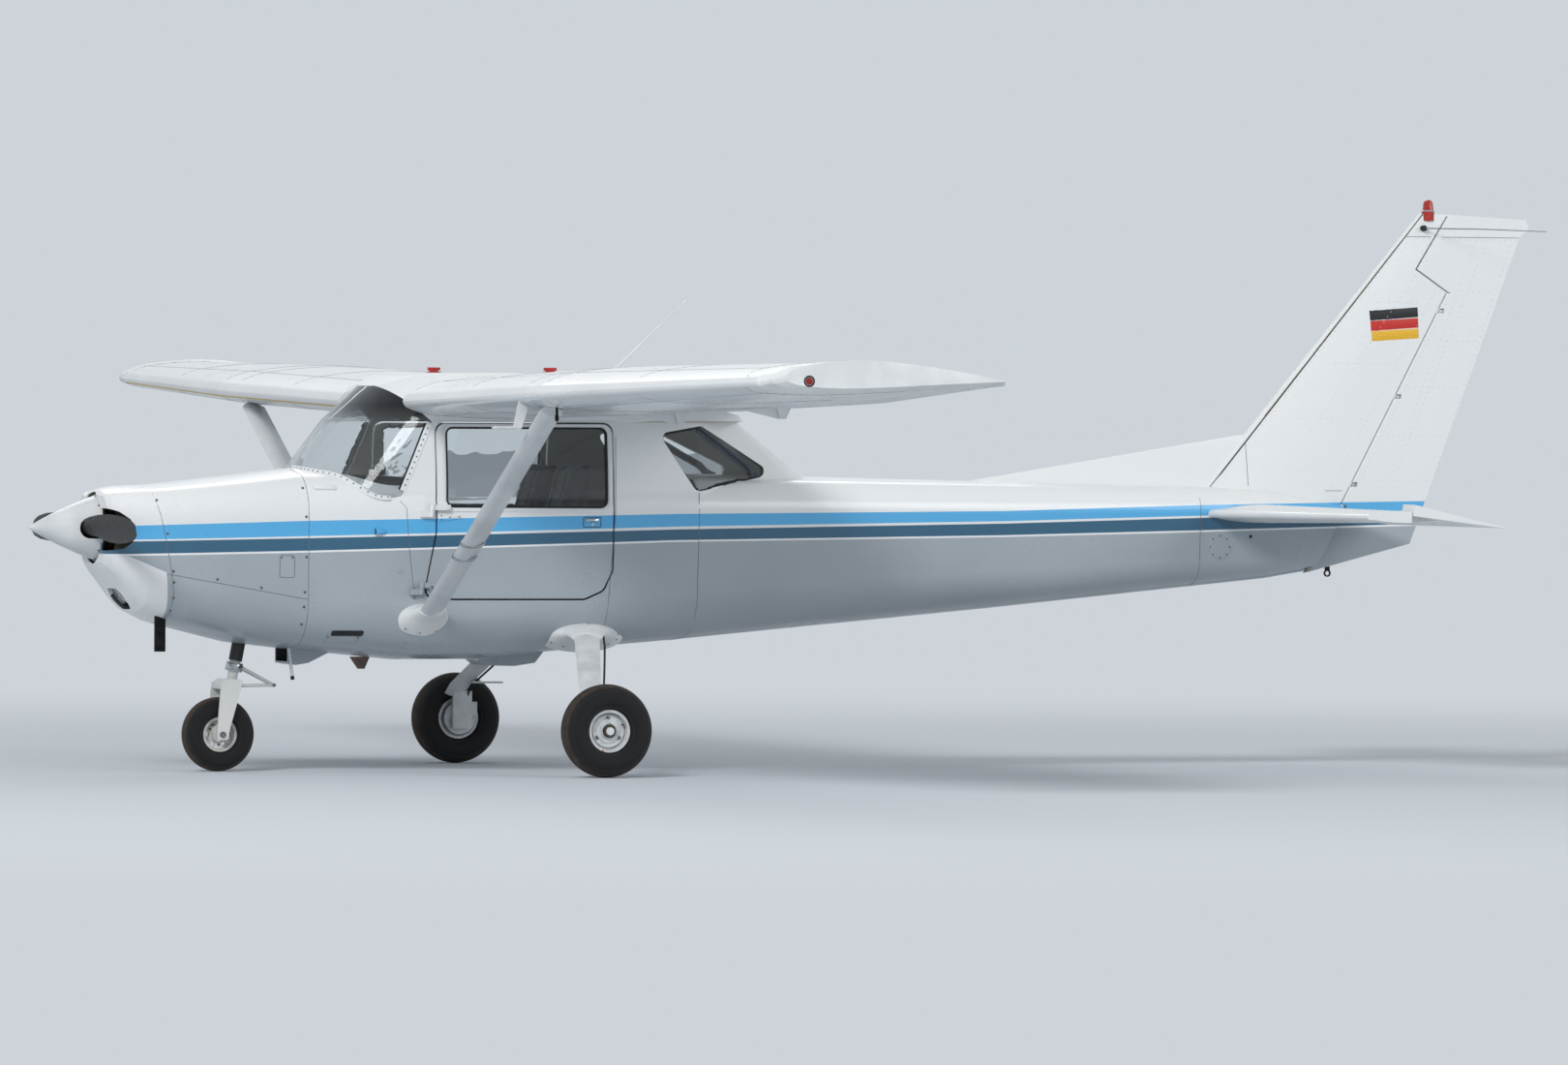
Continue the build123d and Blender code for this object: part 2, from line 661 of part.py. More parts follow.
def door_hinges(door, outer):
    """Two knuckle hinges on the port door's front edge: the fixed halves, and the door with its own."""
    low, high = (Vector(x, -y, z) for x, y, z in DOOR_AXIS)
    along = (high - low).normalized()
    fixed = []
    for at in (low, high):
        x, y, z = at.X, at.Y, at.Z
        barrel = rod(tuple(at - along * 28), tuple(at - along * 0.5), KNUCKLE_R)
        pin = rod(tuple(at - along * 28), tuple(at + along * 20), KNUCKLE_PIN_R)
        leaf = box(x - 52, x, y - 4, y + 30, z - 28, z - 2)
        fixed.append(joined(less(joined(barrel, leaf), outer), less(pin, outer)))
        barrel = rod(tuple(at + along * 0.5), tuple(at + along * 28), KNUCKLE_R)
        leaf = box(x + 7, x + 88, y - 4, y + 30, z + 3, z + 27)
        half = less(joined(barrel, leaf), outer)
        bore = rod(tuple(at - along * 28), tuple(at + along * 20.3), KNUCKLE_PIN_R + PIN_FIT)
        door = less(joined(door, half), bore)
    return joined(*fixed), door


def outer_layer(inset):
    return cabin_solid(inset)


def grown(points, by):
    """A convex polygon pushed out by a distance."""
    count = len(points)
    area = 0.0
    for i in range(count):
        (x0, z0), (x1, z1) = points[i], points[(i + 1) % count]
        area += x0 * z1 - x1 * z0
    sign = 1 if area > 0 else -1
    lines = []
    for i in range(count):
        (x0, z0), (x1, z1) = points[i], points[(i + 1) % count]
        length = math.hypot(x1 - x0, z1 - z0)
        nx, nz = sign * (z1 - z0) / length, -sign * (x1 - x0) / length
        lines.append((x0 + nx * by, z0 + nz * by, x1 - x0, z1 - z0))
    result = []
    for i in range(count):
        ax, az, adx, adz = lines[i - 1]
        bx, bz, bdx, bdz = lines[i]
        det = adx * bdz - adz * bdx
        t = ((bx - ax) * bdz - (bz - az) * bdx) / det
        result.append((ax + t * adx, az + t * adz))
    return result


# Wings with flap, aileron, tip and lift strut.
def build_wing():
    wing = loft([wing_face(y) for y in (WING_ROOT_Y, WING_BREAK_Y, WING_RIB_Y)], ruled=True)
    le_x, le_z, chord, incidence = wing_station(WING_RIB_Y)
    tips = [foil_face(le_x, WING_RIB_Y, le_z, chord, incidence)]
    for y, ahead, share, up in ((4990, 18, 0.985, 4), (5055, 62, 0.93, 14), (WING_TIP_Y, 120, 0.87, 22)):
        face = foil_face(le_x + ahead, y, le_z + up, chord * share, incidence)
        tips.append(face)
    tip = loft(tips, ruled=True)
    flap_hinges = []
    for y in (WING_ROOT_Y, WING_BREAK_Y):
        u = (FLAP_UPPER_X - WING_LE_X) / ROOT_CHORD
        top = wing_point(y, u, 0.0465)
        low = wing_point(y, u, -0.0194)
        flap_hinges.append((low[0], low[1] - FLAP_AXIS_DROP, y, top[1] - low[1] + FLAP_AXIS_DROP))
    axis = [h[:3] for h in flap_hinges]
    radii = [h[3] for h in flap_hinges]
    panel = hinge_region(axis, radii, (FLAP_INNER_Y, FLAP_OUTER_Y), on_y, 3500, 300)
    room_radii = [r + GAP for r in radii]
    room = hinge_region(axis, room_radii, (FLAP_INNER_Y - GAP, FLAP_OUTER_Y + GAP), on_y, 3500, 300)
    flap = common(wing, panel)
    wing = less(wing, room)
    arm_ys = (FLAP_INNER_Y + 250, FLAP_OUTER_Y - 250)
    for y in arm_ys:
        x, z = hinge_at(axis, y)
        lug = [(x - 14, z - 14), (x + 14, z - 14), (x + 40, z + 45), (x - 30, z + 45)]
        lug = side_prism(lug, y - 6, y + 6, 5)
        flap = joined(flap, less(lug, flap))
        ends = [(hinge_at(axis, t)[0], t, hinge_at(axis, t)[1]) for t in (y - 60, y - 18, y + 6, y + 60)]
        flap = less(flap, rod(ends[0], ends[3], HINGE_PIN_R + PIN_FIT))
        slot = box(x - 240, x + 36, y - 22, y - 6, z - 60, z + 92)
        flap = less(flap, slot)
        arm = [
            (x + 14, z - 14), (x + 14, z + 12), (x - 160, z + 90), (x - 235, z + 90), (x - 200, z + 30),
            (x - 14, z - 14),
        ]
        arm = side_prism(arm, y - 18, y - 10)
        arm = less(arm, wing)
        wing = joined(wing, arm, rod(ends[1], ends[2], HINGE_PIN_R))
    hinges = []
    for y in (AILERON_INNER_Y, AILERON_OUTER_Y):
        top = wing_point(y, AILERON_SHARE, 0.0463)
        low = wing_point(y, AILERON_SHARE, -0.0190)
        hinges.append((top[0], (top[1] + low[1]) / 2, y, (top[1] - low[1]) / 2))
    axis_a = [h[:3] for h in hinges]
    radii_a = [h[3] for h in hinges]
    panel = hinge_region(axis_a, radii_a, (AILERON_INNER_Y, AILERON_OUTER_Y), on_y, 3500, 300)
    room_radii = [r + GAP for r in radii_a]
    room = hinge_region(axis_a, room_radii, (AILERON_INNER_Y - GAP, AILERON_OUTER_Y + GAP), on_y, 3500, 300)
    aileron = common(wing, panel)
    wing = less(wing, room)
    stations = (AILERON_INNER_Y + 150, (AILERON_INNER_Y + AILERON_OUTER_Y) / 2, AILERON_OUTER_Y - 150)
    wing, aileron = hang(wing, aileron, axis_a, stations, 62, on_y, (0, 1, 0))
    strut = strut_body()
    strut = less(strut, hull(HULL, FIREWALL_X, 2120, -SEAM), wing)
    cuff = less(strut_cuff(), hull(HULL, FIREWALL_X, 2120), strut_body())
    keep("strut_cuffs", Compound(children=[flat(cuff), mirrored(cuff)]))
    wing, eye = tie_down(wing)
    wing, cap = fuel_cap(wing)
    keep("fuel_caps", Compound(children=[flat(cap), mirrored(cap)]))
    keep("pitot_tube", mirrored(pitot_tube(wing)))
    keep("wing_right", wing)
    keep("wing_left", mirrored(wing))
    for name, shape in (("wing_tip", tip), ("flap", flap), ("aileron", aileron), ("strut", strut)):
        keep(name + "_right", shape)
        keep(name + "_left", mirrored(shape))
    return [flat(eye), mirrored(eye)]


def hinge_at(axis, s):
    t = (s - axis[0][2]) / (axis[1][2] - axis[0][2])
    return (axis[0][0] + t * (axis[1][0] - axis[0][0]), axis[0][1] + t * (axis[1][1] - axis[0][1]))


def oval_face(centre, half_long, half_high, y):
    """An ellipse in side view, level with the ground."""
    ring = Pos(centre[0], y, centre[1]) * (Rot(90, 0, 0) * Ellipse(half_long, half_high))
    return flat_face(ring)


def flat_face(sketch):
    return sketch.faces()[0]


def strut_cuff():
    """The flared plastic collar where the strut meets the side."""
    faces = [oval_face((x, z), long, high, y) for y, x, z, long, high in CUFF]
    return loft(faces, ruled=True)


def tie_down(wing):
    """A steel eye under the wing, ahead of the strut's top, and the wing with a seat for its stem."""
    x, y, z = TIE_DOWN
    low = wing_point(y, (x - WING_LE_X) / ROOT_CHORD, -0.04)[1]
    stem = rod((x, y, z + 14), (x, y, low + 40), 6)
    ring = Pos(x, y, z) * (Rot(0, 90, 0) * Cylinder(EYE_R + 7, 8))
    bore = Pos(x, y, z) * (Rot(0, 90, 0) * Cylinder(EYE_R, 12))
    eye = less(joined(stem, ring), bore)
    return less(wing, eye), eye


def fuel_cap(wing):
    """A filler cap on top of the wing, over the tank."""
    x, y = CAP_X, CAP_Y
    top = wing_point(y, (x - WING_LE_X) / ROOT_CHORD, 0.0785)[1]
    cap = joined(rod((x, y, top - 12), (x, y, top + 12), 34), rod((x, y, top + 12), (x, y, top + 20), 22))
    cap = joined(cap, box(x - 30, x + 30, y - 5, y + 5, top + 18, top + 32))
    return less(wing, cap), cap


def pitot_tube(wing):
    """The airspeed mast under the wing: a slim blade with the tube pointing ahead."""
    x, y, z = PITOT
    mast = [(x + 96, z - 7), (x + 136, z - 7), (x + 178, z + 130), (x + 126, z + 130)]
    mast = side_prism(mast, y - 4, y + 4)
    tube = joined(rod((x, y, z), (x + 16, y, z), 4, 7), rod((x + 16, y, z), (x + 132, y, z), 7))
    return less(joined(mast, tube), wing)


def strut_body():
    faces = []
    for x, y, z in (STRUT_LOW, STRUT_HIGH):
        half, thick = STRUT_CHORD / 2, STRUT_THICKNESS / 2
        rise = (STRUT_HIGH[2] - STRUT_LOW[2]) / (STRUT_HIGH[1] - STRUT_LOW[1])
        thick = thick * math.sqrt(1 + rise * rise)
        steps = [
            ((x - half * 0.4, z + thick), (x + half * 0.3, z + thick * 0.8)), (x + half, z),
            (x + half * 0.3, z - thick * 0.8), ((x - half * 0.4, z - thick), (x - half, z)),
        ]
        faces.append(outline_face((x - half, z), steps, on_y(y)))
    return loft(faces, ruled=True)


# Tail cone, fin, rudder, stabiliser and elevator: thin skins, all hollow.
def build_tail(wing_eyes):
    outer = hull(HULL, BULKHEAD_X, CONE_END_X)
    rows = [row_at(HULL, BULKHEAD_X)] + [r for r in HULL if BULKHEAD_X < r[0] < CONE_END_X]
    last = row_at(HULL, CONE_END_X - 60)
    inner = loft([hull_face(r, CONE_WALL) for r in rows + [last]], ruled=True)
    cone = less(outer, inner)

    # stabiliser and elevator
    def stab(side, wall):
        faces = []
        for y, le, thick in ((0, STAB_ROOT_LE_X, STAB_ROOT_T), (STAB_HALF_SPAN, STAB_TIP_LE_X, STAB_TIP_T)):
            place = on_y(y - (wall if y else 0))
            faces.append(tail_face(le + wall * 2, ELEVATOR_TE_X - wall * 6, STAB_Z, thick - 2 * wall, place))
        return loft(faces, ruled=True)

    surface = stab(1, 0)
    hollow = stab(1, SURFACE_WALL)
    root_share = (STAB_HINGE_X - STAB_ROOT_LE_X) / (ELEVATOR_TE_X - STAB_ROOT_LE_X)
    tip_share = (STAB_HINGE_X - STAB_TIP_LE_X) / (ELEVATOR_TE_X - STAB_TIP_LE_X)
    t_root = 0.5 * STAB_ROOT_T * (1 - root_share) / 0.65
    t_tip = 0.5 * STAB_TIP_T * (1 - tip_share) / 0.65
    axis = ((STAB_HINGE_X, STAB_Z, 0.0), (STAB_HINGE_X, STAB_Z, STAB_HALF_SPAN))
    horn_y = STAB_HALF_SPAN - HORN_WIDTH
    panel = hinge_region(axis, (t_root, t_tip), (0, STAB_HALF_SPAN + 5), on_y, 6800, 100)
    panel = joined(panel, box(HORN_LE_X, 6400, horn_y, STAB_HALF_SPAN + 5, STAB_Z - 100, STAB_Z + 100))
    room = hinge_region(axis, (t_root + GAP, t_tip + GAP), (0, STAB_HALF_SPAN + 5), on_y, 6800, 100)
    tip_y = STAB_HALF_SPAN + 5
    room = joined(room, box(HORN_LE_X - GAP, 6400, horn_y - GAP, tip_y, STAB_Z - 100, STAB_Z + 100))
    root_cut = [(6000, -10), (6000, ELEVATOR_ROOT_Y), (6360, ELEVATOR_ROOT_Y), (6640, 140), (6640, -10)]
    root_cut = polygon_face(root_cut, on_z(STAB_Z - 100))
    root_cut = extrude(root_cut, amount=200, dir=(0, 0, 1))
    half_elevator = less(common(surface, panel), root_cut)
    hinge_ys = (260, 1150)
    inner_region = hinge_region(axis, (t_root - 3, t_tip - 3), (ELEVATOR_ROOT_Y + 4, horn_y), on_y, 6800, 100)
    inner_elevator = common(hollow, inner_region)
    inner_elevator = less(inner_elevator, root_moved(root_cut))
    inner_stab = less(hollow, grown_room(axis, t_root + GAP + 3, t_tip + GAP + 3, horn_y))
    for y in hinge_ys:
        rib = box(STAB_HINGE_X - 60, STAB_HINGE_X + 30, y - 24, y + 24, STAB_Z - 60, STAB_Z + 60)
        inner_elevator = less(inner_elevator, rib)
    half_elevator = less(half_elevator, inner_elevator)
    half_stab = less(surface, room, inner_stab)
    half_stab, half_elevator = hang(half_stab, half_elevator, axis, hinge_ys, 52, on_y, (0, 1, 0))
    end = ELEVATOR_ROOT_Y - SEAM
    tube = rod((STAB_HINGE_X, -end, STAB_Z), (STAB_HINGE_X, end, STAB_Z), TORQUE_TUBE_R)
    elevator = Compound(children=[flat(half_elevator), flat(mirrored(half_elevator)), flat(tube)])
    stabiliser = joined(half_stab, mirrored(half_stab))
    stabiliser = less(stabiliser, inner)
    cone = less(cone, stabiliser)
    cone = less(cone, rod((STAB_HINGE_X, -200, STAB_Z), (STAB_HINGE_X, 200, STAB_Z), TORQUE_TUBE_R + GAP))
    to_axis = Pos(-STAB_HINGE_X, 0, -STAB_Z)
    elevator = Pos(STAB_HINGE_X, 0, STAB_Z) * (Rot(0, ELEVATOR_DROOP, 0) * (to_axis * elevator))
    keep("stabiliser", stabiliser)
    keep("elevator", elevator)

    # fin and rudder
    def fin_body(wall):
        faces = []
        for z in (900, 2608):
            le = 5902 + 0.8365 * (z - 1562) + wall * 2
            te = 6850 + 0.375 * (z - 1265) - wall * 6
            thick = 84 - (z - 1180) * 0.028 - 2 * wall
            faces.append(tail_face(le, te, 0, thick, on_z(z - (wall if z > 2000 else 0))))
        return loft(faces, ruled=True)

    fin_outer = common(fin_body(0), side_prism(FIN_OUTLINE, -100, 100))
    fin_inner = common(fin_body(SURFACE_WALL), side_prism(grown(FIN_OUTLINE, -SURFACE_WALL), -100, 100))
    (hx0, hz0), (hx1, hz1) = FIN_HINGE
    axis = ((hx0, 0.0, hz0), (hx1, 0.0, hz1))
    r0, r1 = 27.0, 22.0
    horn_top = 2700
    (kx, kz), (mx, mz) = HORN_LINE
    horn_front = (kx + 0.62 * (horn_top - kz), horn_top)
    horn = [(kx, kz), horn_front, (7500, horn_top), (7500, mz), (mx, mz)]
    panel = hinge_region(axis, (r0, r1), (900, mz), on_z, 7600, 100)
    panel = joined(panel, side_prism(horn, -100, 100))
    room = hinge_region(axis, (r0 + GAP, r1 + GAP), (880, mz + 20), on_z, 7600, 100)
    room = joined(room, side_prism(grown(horn, GAP), -100, 100))
    rudder = common(fin_outer, panel)
    fin_room = less(fin_inner, hinge_region(axis, (r0 + GAP + 3, r1 + GAP + 3), (880, mz), on_z, 7600, 100))
    fin_room = less(fin_room, side_prism(grown(horn, GAP + 4), -100, 100))
    fin = less(fin_outer, room, fin_room)
    fin, rudder = hang(fin, rudder, axis, (1330, 1745, 2150), 58, on_z, (0, 0, 1))
    rudder = less(rudder, box(6200, 6412, -100, 100, STAB_Z - 42, STAB_Z + 42))
    # The rudder's lower cap is a piece of its own, under the elevator's tube
    rudder = less(rudder, box(6000, 7400, -100, 100, STAB_Z - 42 - 2 * SEAM, STAB_Z - 42))
    post = hinge_region(axis, (r0 + GAP, r1 + GAP), (800, 1500), on_z, 7600, 300)
    cone = less(cone, post)
    dorsal = loft([
        polygon_face([(4225, -3), (4225, 3), (6000, 22), (6000, -22)], on_z(1290)),
        polygon_face([(5890, -3), (5890, 3), (6000, 14), (6000, -14)], on_z(1562)),
    ], ruled=True)
    dorsal_side = [(4222, 1200), (4222, 1366), (5902, 1562), (6010, 1640), (6010, 1200)]
    dorsal = common(dorsal, side_prism(dorsal_side, -60, 60))
    cone_full = hull(HULL, BULKHEAD_X, CONE_END_X)
    fin = less(fin, cone_full, box(5800, 6500, -100, 100, 800, 1100))
    fin = joined(fin, less(dorsal, fin_outer, cone_full))
    x, z = BEACON
    lamp = joined(rod((x, 0, z - 36), (x, 0, z + 10), 30), rod((x, 0, z + 10), (x, 0, z + 50), 27, 22))
    lamp = joined(lamp, common(Pos(x, 0, z + 40) * Sphere(24), box(x - 40, x + 40, -40, 40, z + 50, z + 66)))
    keep("beacon", less(lamp, fin))
    keep("fin", fin)
    keep("rudder", rudder)
    x, z = TAIL_EYE
    eye = Pos(x, 0, z) * (Rot(90, 0, 0) * Cylinder(EYE_R + 7, 8))
    eye = joined(eye, box(x - 12, x + 12, -4, 4, z + 10, z + 60))
    eye = less(eye, Pos(x, 0, z) * (Rot(90, 0, 0) * Cylinder(EYE_R, 12)), cone_full)
    keep("tie_downs", Compound(children=wing_eyes + [flat(eye)]))
    keep("tail_cone", cone)


def root_moved(shape):
    return Pos(0, 4, 0) * shape


def grown_room(axis, r_root, r_tip, horn_y):
    room = hinge_region(axis, (r_root, r_tip), (0, STAB_HALF_SPAN + 5), on_y, 6800, 100)
    front, inner_y, tip_y = HORN_LE_X - GAP - 4, horn_y - GAP - 4, STAB_HALF_SPAN + 5
    return joined(room, box(front, 6400, inner_y, tip_y, STAB_Z - 100, STAB_Z + 100))


# Wheels and undercarriage.
FORK_SIDE = [
    (NOSE_X - 26, 146), (NOSE_X + 26, 146), (NOSE_X + 34, 196), (984, 372), (986, 402), (896, 402),
    (890, 372), (NOSE_X - 24, 200),
]


def wheel(x, y, z, tyre_r, width, rim_r):
    half = width / 2

    def place(a, r):
        return Vector(x, y + a, z + r)

    axis = Axis((x, y, z), (0, 1, 0))
    tyre_steps = [
        (half * 0.62, rim_r), ((half, (tyre_r + rim_r) / 2), (half * 0.66, tyre_r - 16)),
        ((0, tyre_r), (-half * 0.66, tyre_r - 16)), ((-half, (tyre_r + rim_r) / 2), (-half * 0.62, rim_r)),
    ]
    tyre = revolve(outline_face((-half * 0.62, rim_r), tyre_steps, place), axis)
    lip = half * 0.62
    rim_steps = [
        (-lip, rim_r), (-lip, rim_r - 12), (-lip * 0.35, rim_r - 18), (-lip * 0.35, 40), (-lip * 0.9, 34),
        (-lip * 0.9, AXLE_R + PIN_FIT), (lip * 0.9, AXLE_R + PIN_FIT), (lip * 0.9, 34), (lip * 0.35, 40),
        (lip * 0.35, rim_r - 18), (lip, rim_r - 12), (lip, rim_r),
    ]
    rim = revolve(outline_face((lip, rim_r), rim_steps, place), axis)
    return tyre, rim


LEG = [
    # distance from the middle, centre x and z, half width, half thickness
    (455, 2520, 690, 64, 17), (1000, 2370, 376, 52, 13), (1062, 2362, 330, 50, 13),
]
SLEEVE = [
    # the same columns: the flared cover round the leg's root
    (400, 2508, 622, 206, 70), (470, 2502, 640, 150, 52), (530, 2496, 640, 100, 34), (575, 2489, 624, 76, 24),
]
BRAKE_R = 76.0
BRAKE_IN = 72.0            # brake disc inboard of the wheel's middle


def torque_links():
    """Two V-shaped links behind the oleo that keep the fork in line with its collar."""
    ax, az = LINK_APEX
    links = [rod((ax, -14, az), (ax, 14, az), 9)]
    for side in (-1, 1):
        links.append(rod((985, side * 24, 391), (ax, side * 8, az), 7))
        links.append(rod((1000, side * 28, 478), (ax, side * 8, az), 7))
    return links


def build_gear():
    tyre, rim = wheel(MAIN_X, MAIN_Y, MAIN_TYRE_R, MAIN_TYRE_R, MAIN_TYRE_W, MAIN_RIM_R)
    faces = []
    for y, x, z, half, thick in LEG:
        steps = [
            ((x - half * 0.4, z + thick), (x + half * 0.4, z + thick * 0.8)), (x + half, z),
            (x + half * 0.4, z - thick * 0.8), ((x - half * 0.4, z - thick), (x - half, z)),
        ]
        faces.append(outline_face((x - half, z), steps, on_y(y)))
    leg = loft(faces, ruled=True)
    plate = box(MAIN_X - 45, MAIN_X + 45, 1040, 1062, MAIN_TYRE_R - 48, 340)
    axle = rod((MAIN_X, 1050, MAIN_TYRE_R), (MAIN_X, MAIN_Y + 62, MAIN_TYRE_R), AXLE_R)
    sleeve = [oval_face((x, z), long, high, y) for y, x, z, long, high in SLEEVE]
    sleeve = less(loft(sleeve, ruled=True), leg, hull(HULL, 2120, BULKHEAD_X))
    keep("leg_sleeves", Compound(children=[flat(sleeve), mirrored(sleeve)]))
    disc_y = MAIN_Y - BRAKE_IN
    caliper = box(MAIN_X + 12, MAIN_X + 76, 1058, disc_y - 8, MAIN_TYRE_R + 12, MAIN_TYRE_R + 76)
    disc = rod((MAIN_X, disc_y - 3, MAIN_TYRE_R), (MAIN_X, disc_y + 3, MAIN_TYRE_R), BRAKE_R)
    hat = rod((MAIN_X, disc_y - 3, MAIN_TYRE_R), (MAIN_X, MAIN_Y - 14, MAIN_TYRE_R), 46)
    hollow = rod((MAIN_X, disc_y - 9, MAIN_TYRE_R), (MAIN_X, MAIN_Y, MAIN_TYRE_R), 28)
    rim = joined(rim, less(joined(disc, hat), hollow))
    leg = joined(leg, caliper)
    leg = less(joined(leg, plate, axle), hull(HULL, 2120, BULKHEAD_X, -SEAM))
    for name, shape in (("main_leg", leg), ("main_tyre", tyre), ("main_rim", rim)):
        keep(name + "_right", shape)
        keep(name + "_left", mirrored(shape))
    tyre, rim = wheel(NOSE_X, 0, NOSE_TYRE_R, NOSE_TYRE_R, NOSE_TYRE_W, NOSE_RIM_R)
    for k in range(6):
        slot = Pos(NOSE_X, 0, NOSE_TYRE_R) * (Rot(0, 60 * k, 0) * (Pos(50, 0, 0) * Box(16, 120, 22)))
        rim = less(rim, slot)
    keep("nose_tyre", tyre)
    keep("nose_rim", rim)
    housing = steer_rod(506, 870, HOUSING_R)
    housing = less(housing, steer_rod(480, 760, PISTON_R + PIN_FIT))
    for z in (640, 820):
        bracket = box(1000, FIREWALL_X, -30, 30, z, z + 40)
        housing = joined(housing, less(bracket, steer_rod(480, 1000, HOUSING_R)))
    keep("nose_housing", housing)
    fork = joined(steer_rod(380, 750, PISTON_R), steer_rod(458, 498, COLLAR_R), *torque_links())
    fork = joined(fork, side_prism([(893, 374), (985, 374), (996, 420), (925, 424), (893, 405)], -86, 86, 10))
    for side in (-1, 1):
        y0, y1 = sorted((side * 74, side * 86))
        fork = joined(fork, side_prism(FORK_SIDE, y0, y1, 8))
    fork = joined(fork, rod((NOSE_X, -86, NOSE_TYRE_R), (NOSE_X, 86, NOSE_TYRE_R), AXLE_R))
    keep("nose_fork", fork)


# Cabin fittings.
def build_inside():
    panel = common(cabin_solid(CABIN_WALL + SEAM), box(PANEL_AFT - 15, PANEL_AFT, -600, 600, 1010, 1335))
    keep("instrument_panel", panel)
    keep("control_yokes", control_yokes())
    keep("rudder_pedals", rudder_pedals())
    frames = []
    for side, word in ((-1, "left"), (1, "right")):
        y = side * 245
        base = box(1990, 2420, y - 190, y + 190, 560, 800)
        cushion = box(1980, 2430, y - 195, y + 195, 800, 900)
        back = side_prism([(2350, 905), (2440, 905), (2580, 1440), (2500, 1440)], y - 195, y + 195, 20)
        keep("seat_" + word, joined(cushion, back, box(2350, 2430, y - 195, y + 195, 890, 920)))
        frames.append(flat(less(base, hull_outside())))
    keep("seat_frames", Compound(children=frames))


def control_yokes():
    """Two push-pull columns through the panel, each with a ram's-horn grip."""
    yokes = []
    for y in (-245, 245):
        shaft = rod((PANEL_AFT + SEAM, y, 1130), (PANEL_AFT + 105, y, 1130), 12)
        hub = Pos(PANEL_AFT + 112, y, 1130) * Box(22, 70, 56)
        yoke = joined(shaft, hub)
        for s in (-1, 1):
            grip = rod((PANEL_AFT + 112, y + s * 30, 1122), (PANEL_AFT + 112, y + s * 118, 1112), 11)
            horn = rod((PANEL_AFT + 112, y + s * 118, 1108), (PANEL_AFT + 104, y + s * 134, 1206), 13)
            yoke = joined(yoke, grip, horn)
        yokes.append(yoke)
    return Compound(children=yokes)


def rudder_pedals():
    """Four pedal plates on arms from the floor."""
    pedals = []
    for y in (-320, -170, 170, 320):
        arm = rod((1300, y, 590 + SEAM), (1340, y, 700), 9)
        plate = side_prism([(1322, 640), (1334, 634), (1378, 752), (1366, 758)], y - 40, y + 40)
        outside = less(box(1200, 1500, -600, 600, 400, 900), hull(HULL, 1198, 1720, CABIN_WALL))
        pedals.append(less(joined(arm, plate), outside))
    return Compound(children=pedals)


def hull_outside():
    return less(box(1800, 2700, -700, 700, 400, 1500), hull(HULL, 1720, BULKHEAD_X, CABIN_WALL))


build_cowling()
build_propeller()
build_cabin()
build_tail(build_wing())
build_gear()
build_inside()

for name, shape in PARTS.items():
    export_step(shape, f"parts/{name}.step")
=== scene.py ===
import math

import bpy
from mathutils import Matrix, Vector
from mathutils.bvhtree import BVHTree


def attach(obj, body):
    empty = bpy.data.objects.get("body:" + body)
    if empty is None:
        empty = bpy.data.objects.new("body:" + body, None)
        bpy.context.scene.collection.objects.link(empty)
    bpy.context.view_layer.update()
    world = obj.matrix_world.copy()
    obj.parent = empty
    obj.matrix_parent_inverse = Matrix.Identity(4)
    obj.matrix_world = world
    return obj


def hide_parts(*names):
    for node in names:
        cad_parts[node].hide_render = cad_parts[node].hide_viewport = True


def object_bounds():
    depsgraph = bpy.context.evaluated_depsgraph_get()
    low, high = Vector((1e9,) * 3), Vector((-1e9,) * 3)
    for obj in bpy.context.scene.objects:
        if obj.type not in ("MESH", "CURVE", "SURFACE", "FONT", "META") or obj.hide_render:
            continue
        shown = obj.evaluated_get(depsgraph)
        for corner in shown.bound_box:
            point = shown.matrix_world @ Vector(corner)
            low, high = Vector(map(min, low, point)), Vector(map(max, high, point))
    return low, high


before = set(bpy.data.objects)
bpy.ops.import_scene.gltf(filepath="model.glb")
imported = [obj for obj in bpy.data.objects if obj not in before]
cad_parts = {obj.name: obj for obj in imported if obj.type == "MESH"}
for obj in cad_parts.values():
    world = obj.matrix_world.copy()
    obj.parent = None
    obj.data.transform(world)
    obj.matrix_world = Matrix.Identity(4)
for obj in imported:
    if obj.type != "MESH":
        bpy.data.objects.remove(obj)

CAD_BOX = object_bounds()
NOSE = CAD_BOX[0][0]

# Camera: a long lens well off the port side and a little ahead of the cabin, near eye height. Its
# focal length was solved in pixels of a frame that is 1620 wide.
CAMERA_AT = (NOSE - 15.846, -57.942, 1.801)
CAMERA_YAW = math.radians(18.577)
CAMERA_PITCH = math.radians(-0.659)
CAMERA_ROLL = math.radians(0.346)
FOCAL_PIXELS = 13611
FRAME_PIXELS = 1620
SENSOR_MM = 36

ahead = Vector((
    math.sin(CAMERA_YAW) * math.cos(CAMERA_PITCH),
    math.cos(CAMERA_YAW) * math.cos(CAMERA_PITCH),
    math.sin(CAMERA_PITCH),
))
level = Vector((math.cos(CAMERA_YAW), -math.sin(CAMERA_YAW), 0))
upright = level.cross(ahead)
camera_right = level * math.cos(CAMERA_ROLL) + upright * math.sin(CAMERA_ROLL)
camera_up = upright * math.cos(CAMERA_ROLL) - level * math.sin(CAMERA_ROLL)
lens = bpy.data.cameras.new("long_lens")
lens.lens = FOCAL_PIXELS / FRAME_PIXELS * SENSOR_MM
lens.sensor_width = SENSOR_MM
lens.clip_start = 1
lens.clip_end = 500
camera = bpy.data.objects.new("camera", lens)
bpy.context.collection.objects.link(camera)
turn = Matrix((camera_right, camera_up, -ahead)).transposed().to_4x4()
camera.matrix_world = Matrix.Translation(CAMERA_AT) @ turn
bpy.context.scene.camera = camera
bpy.context.scene.view_settings.view_transform = "Standard"


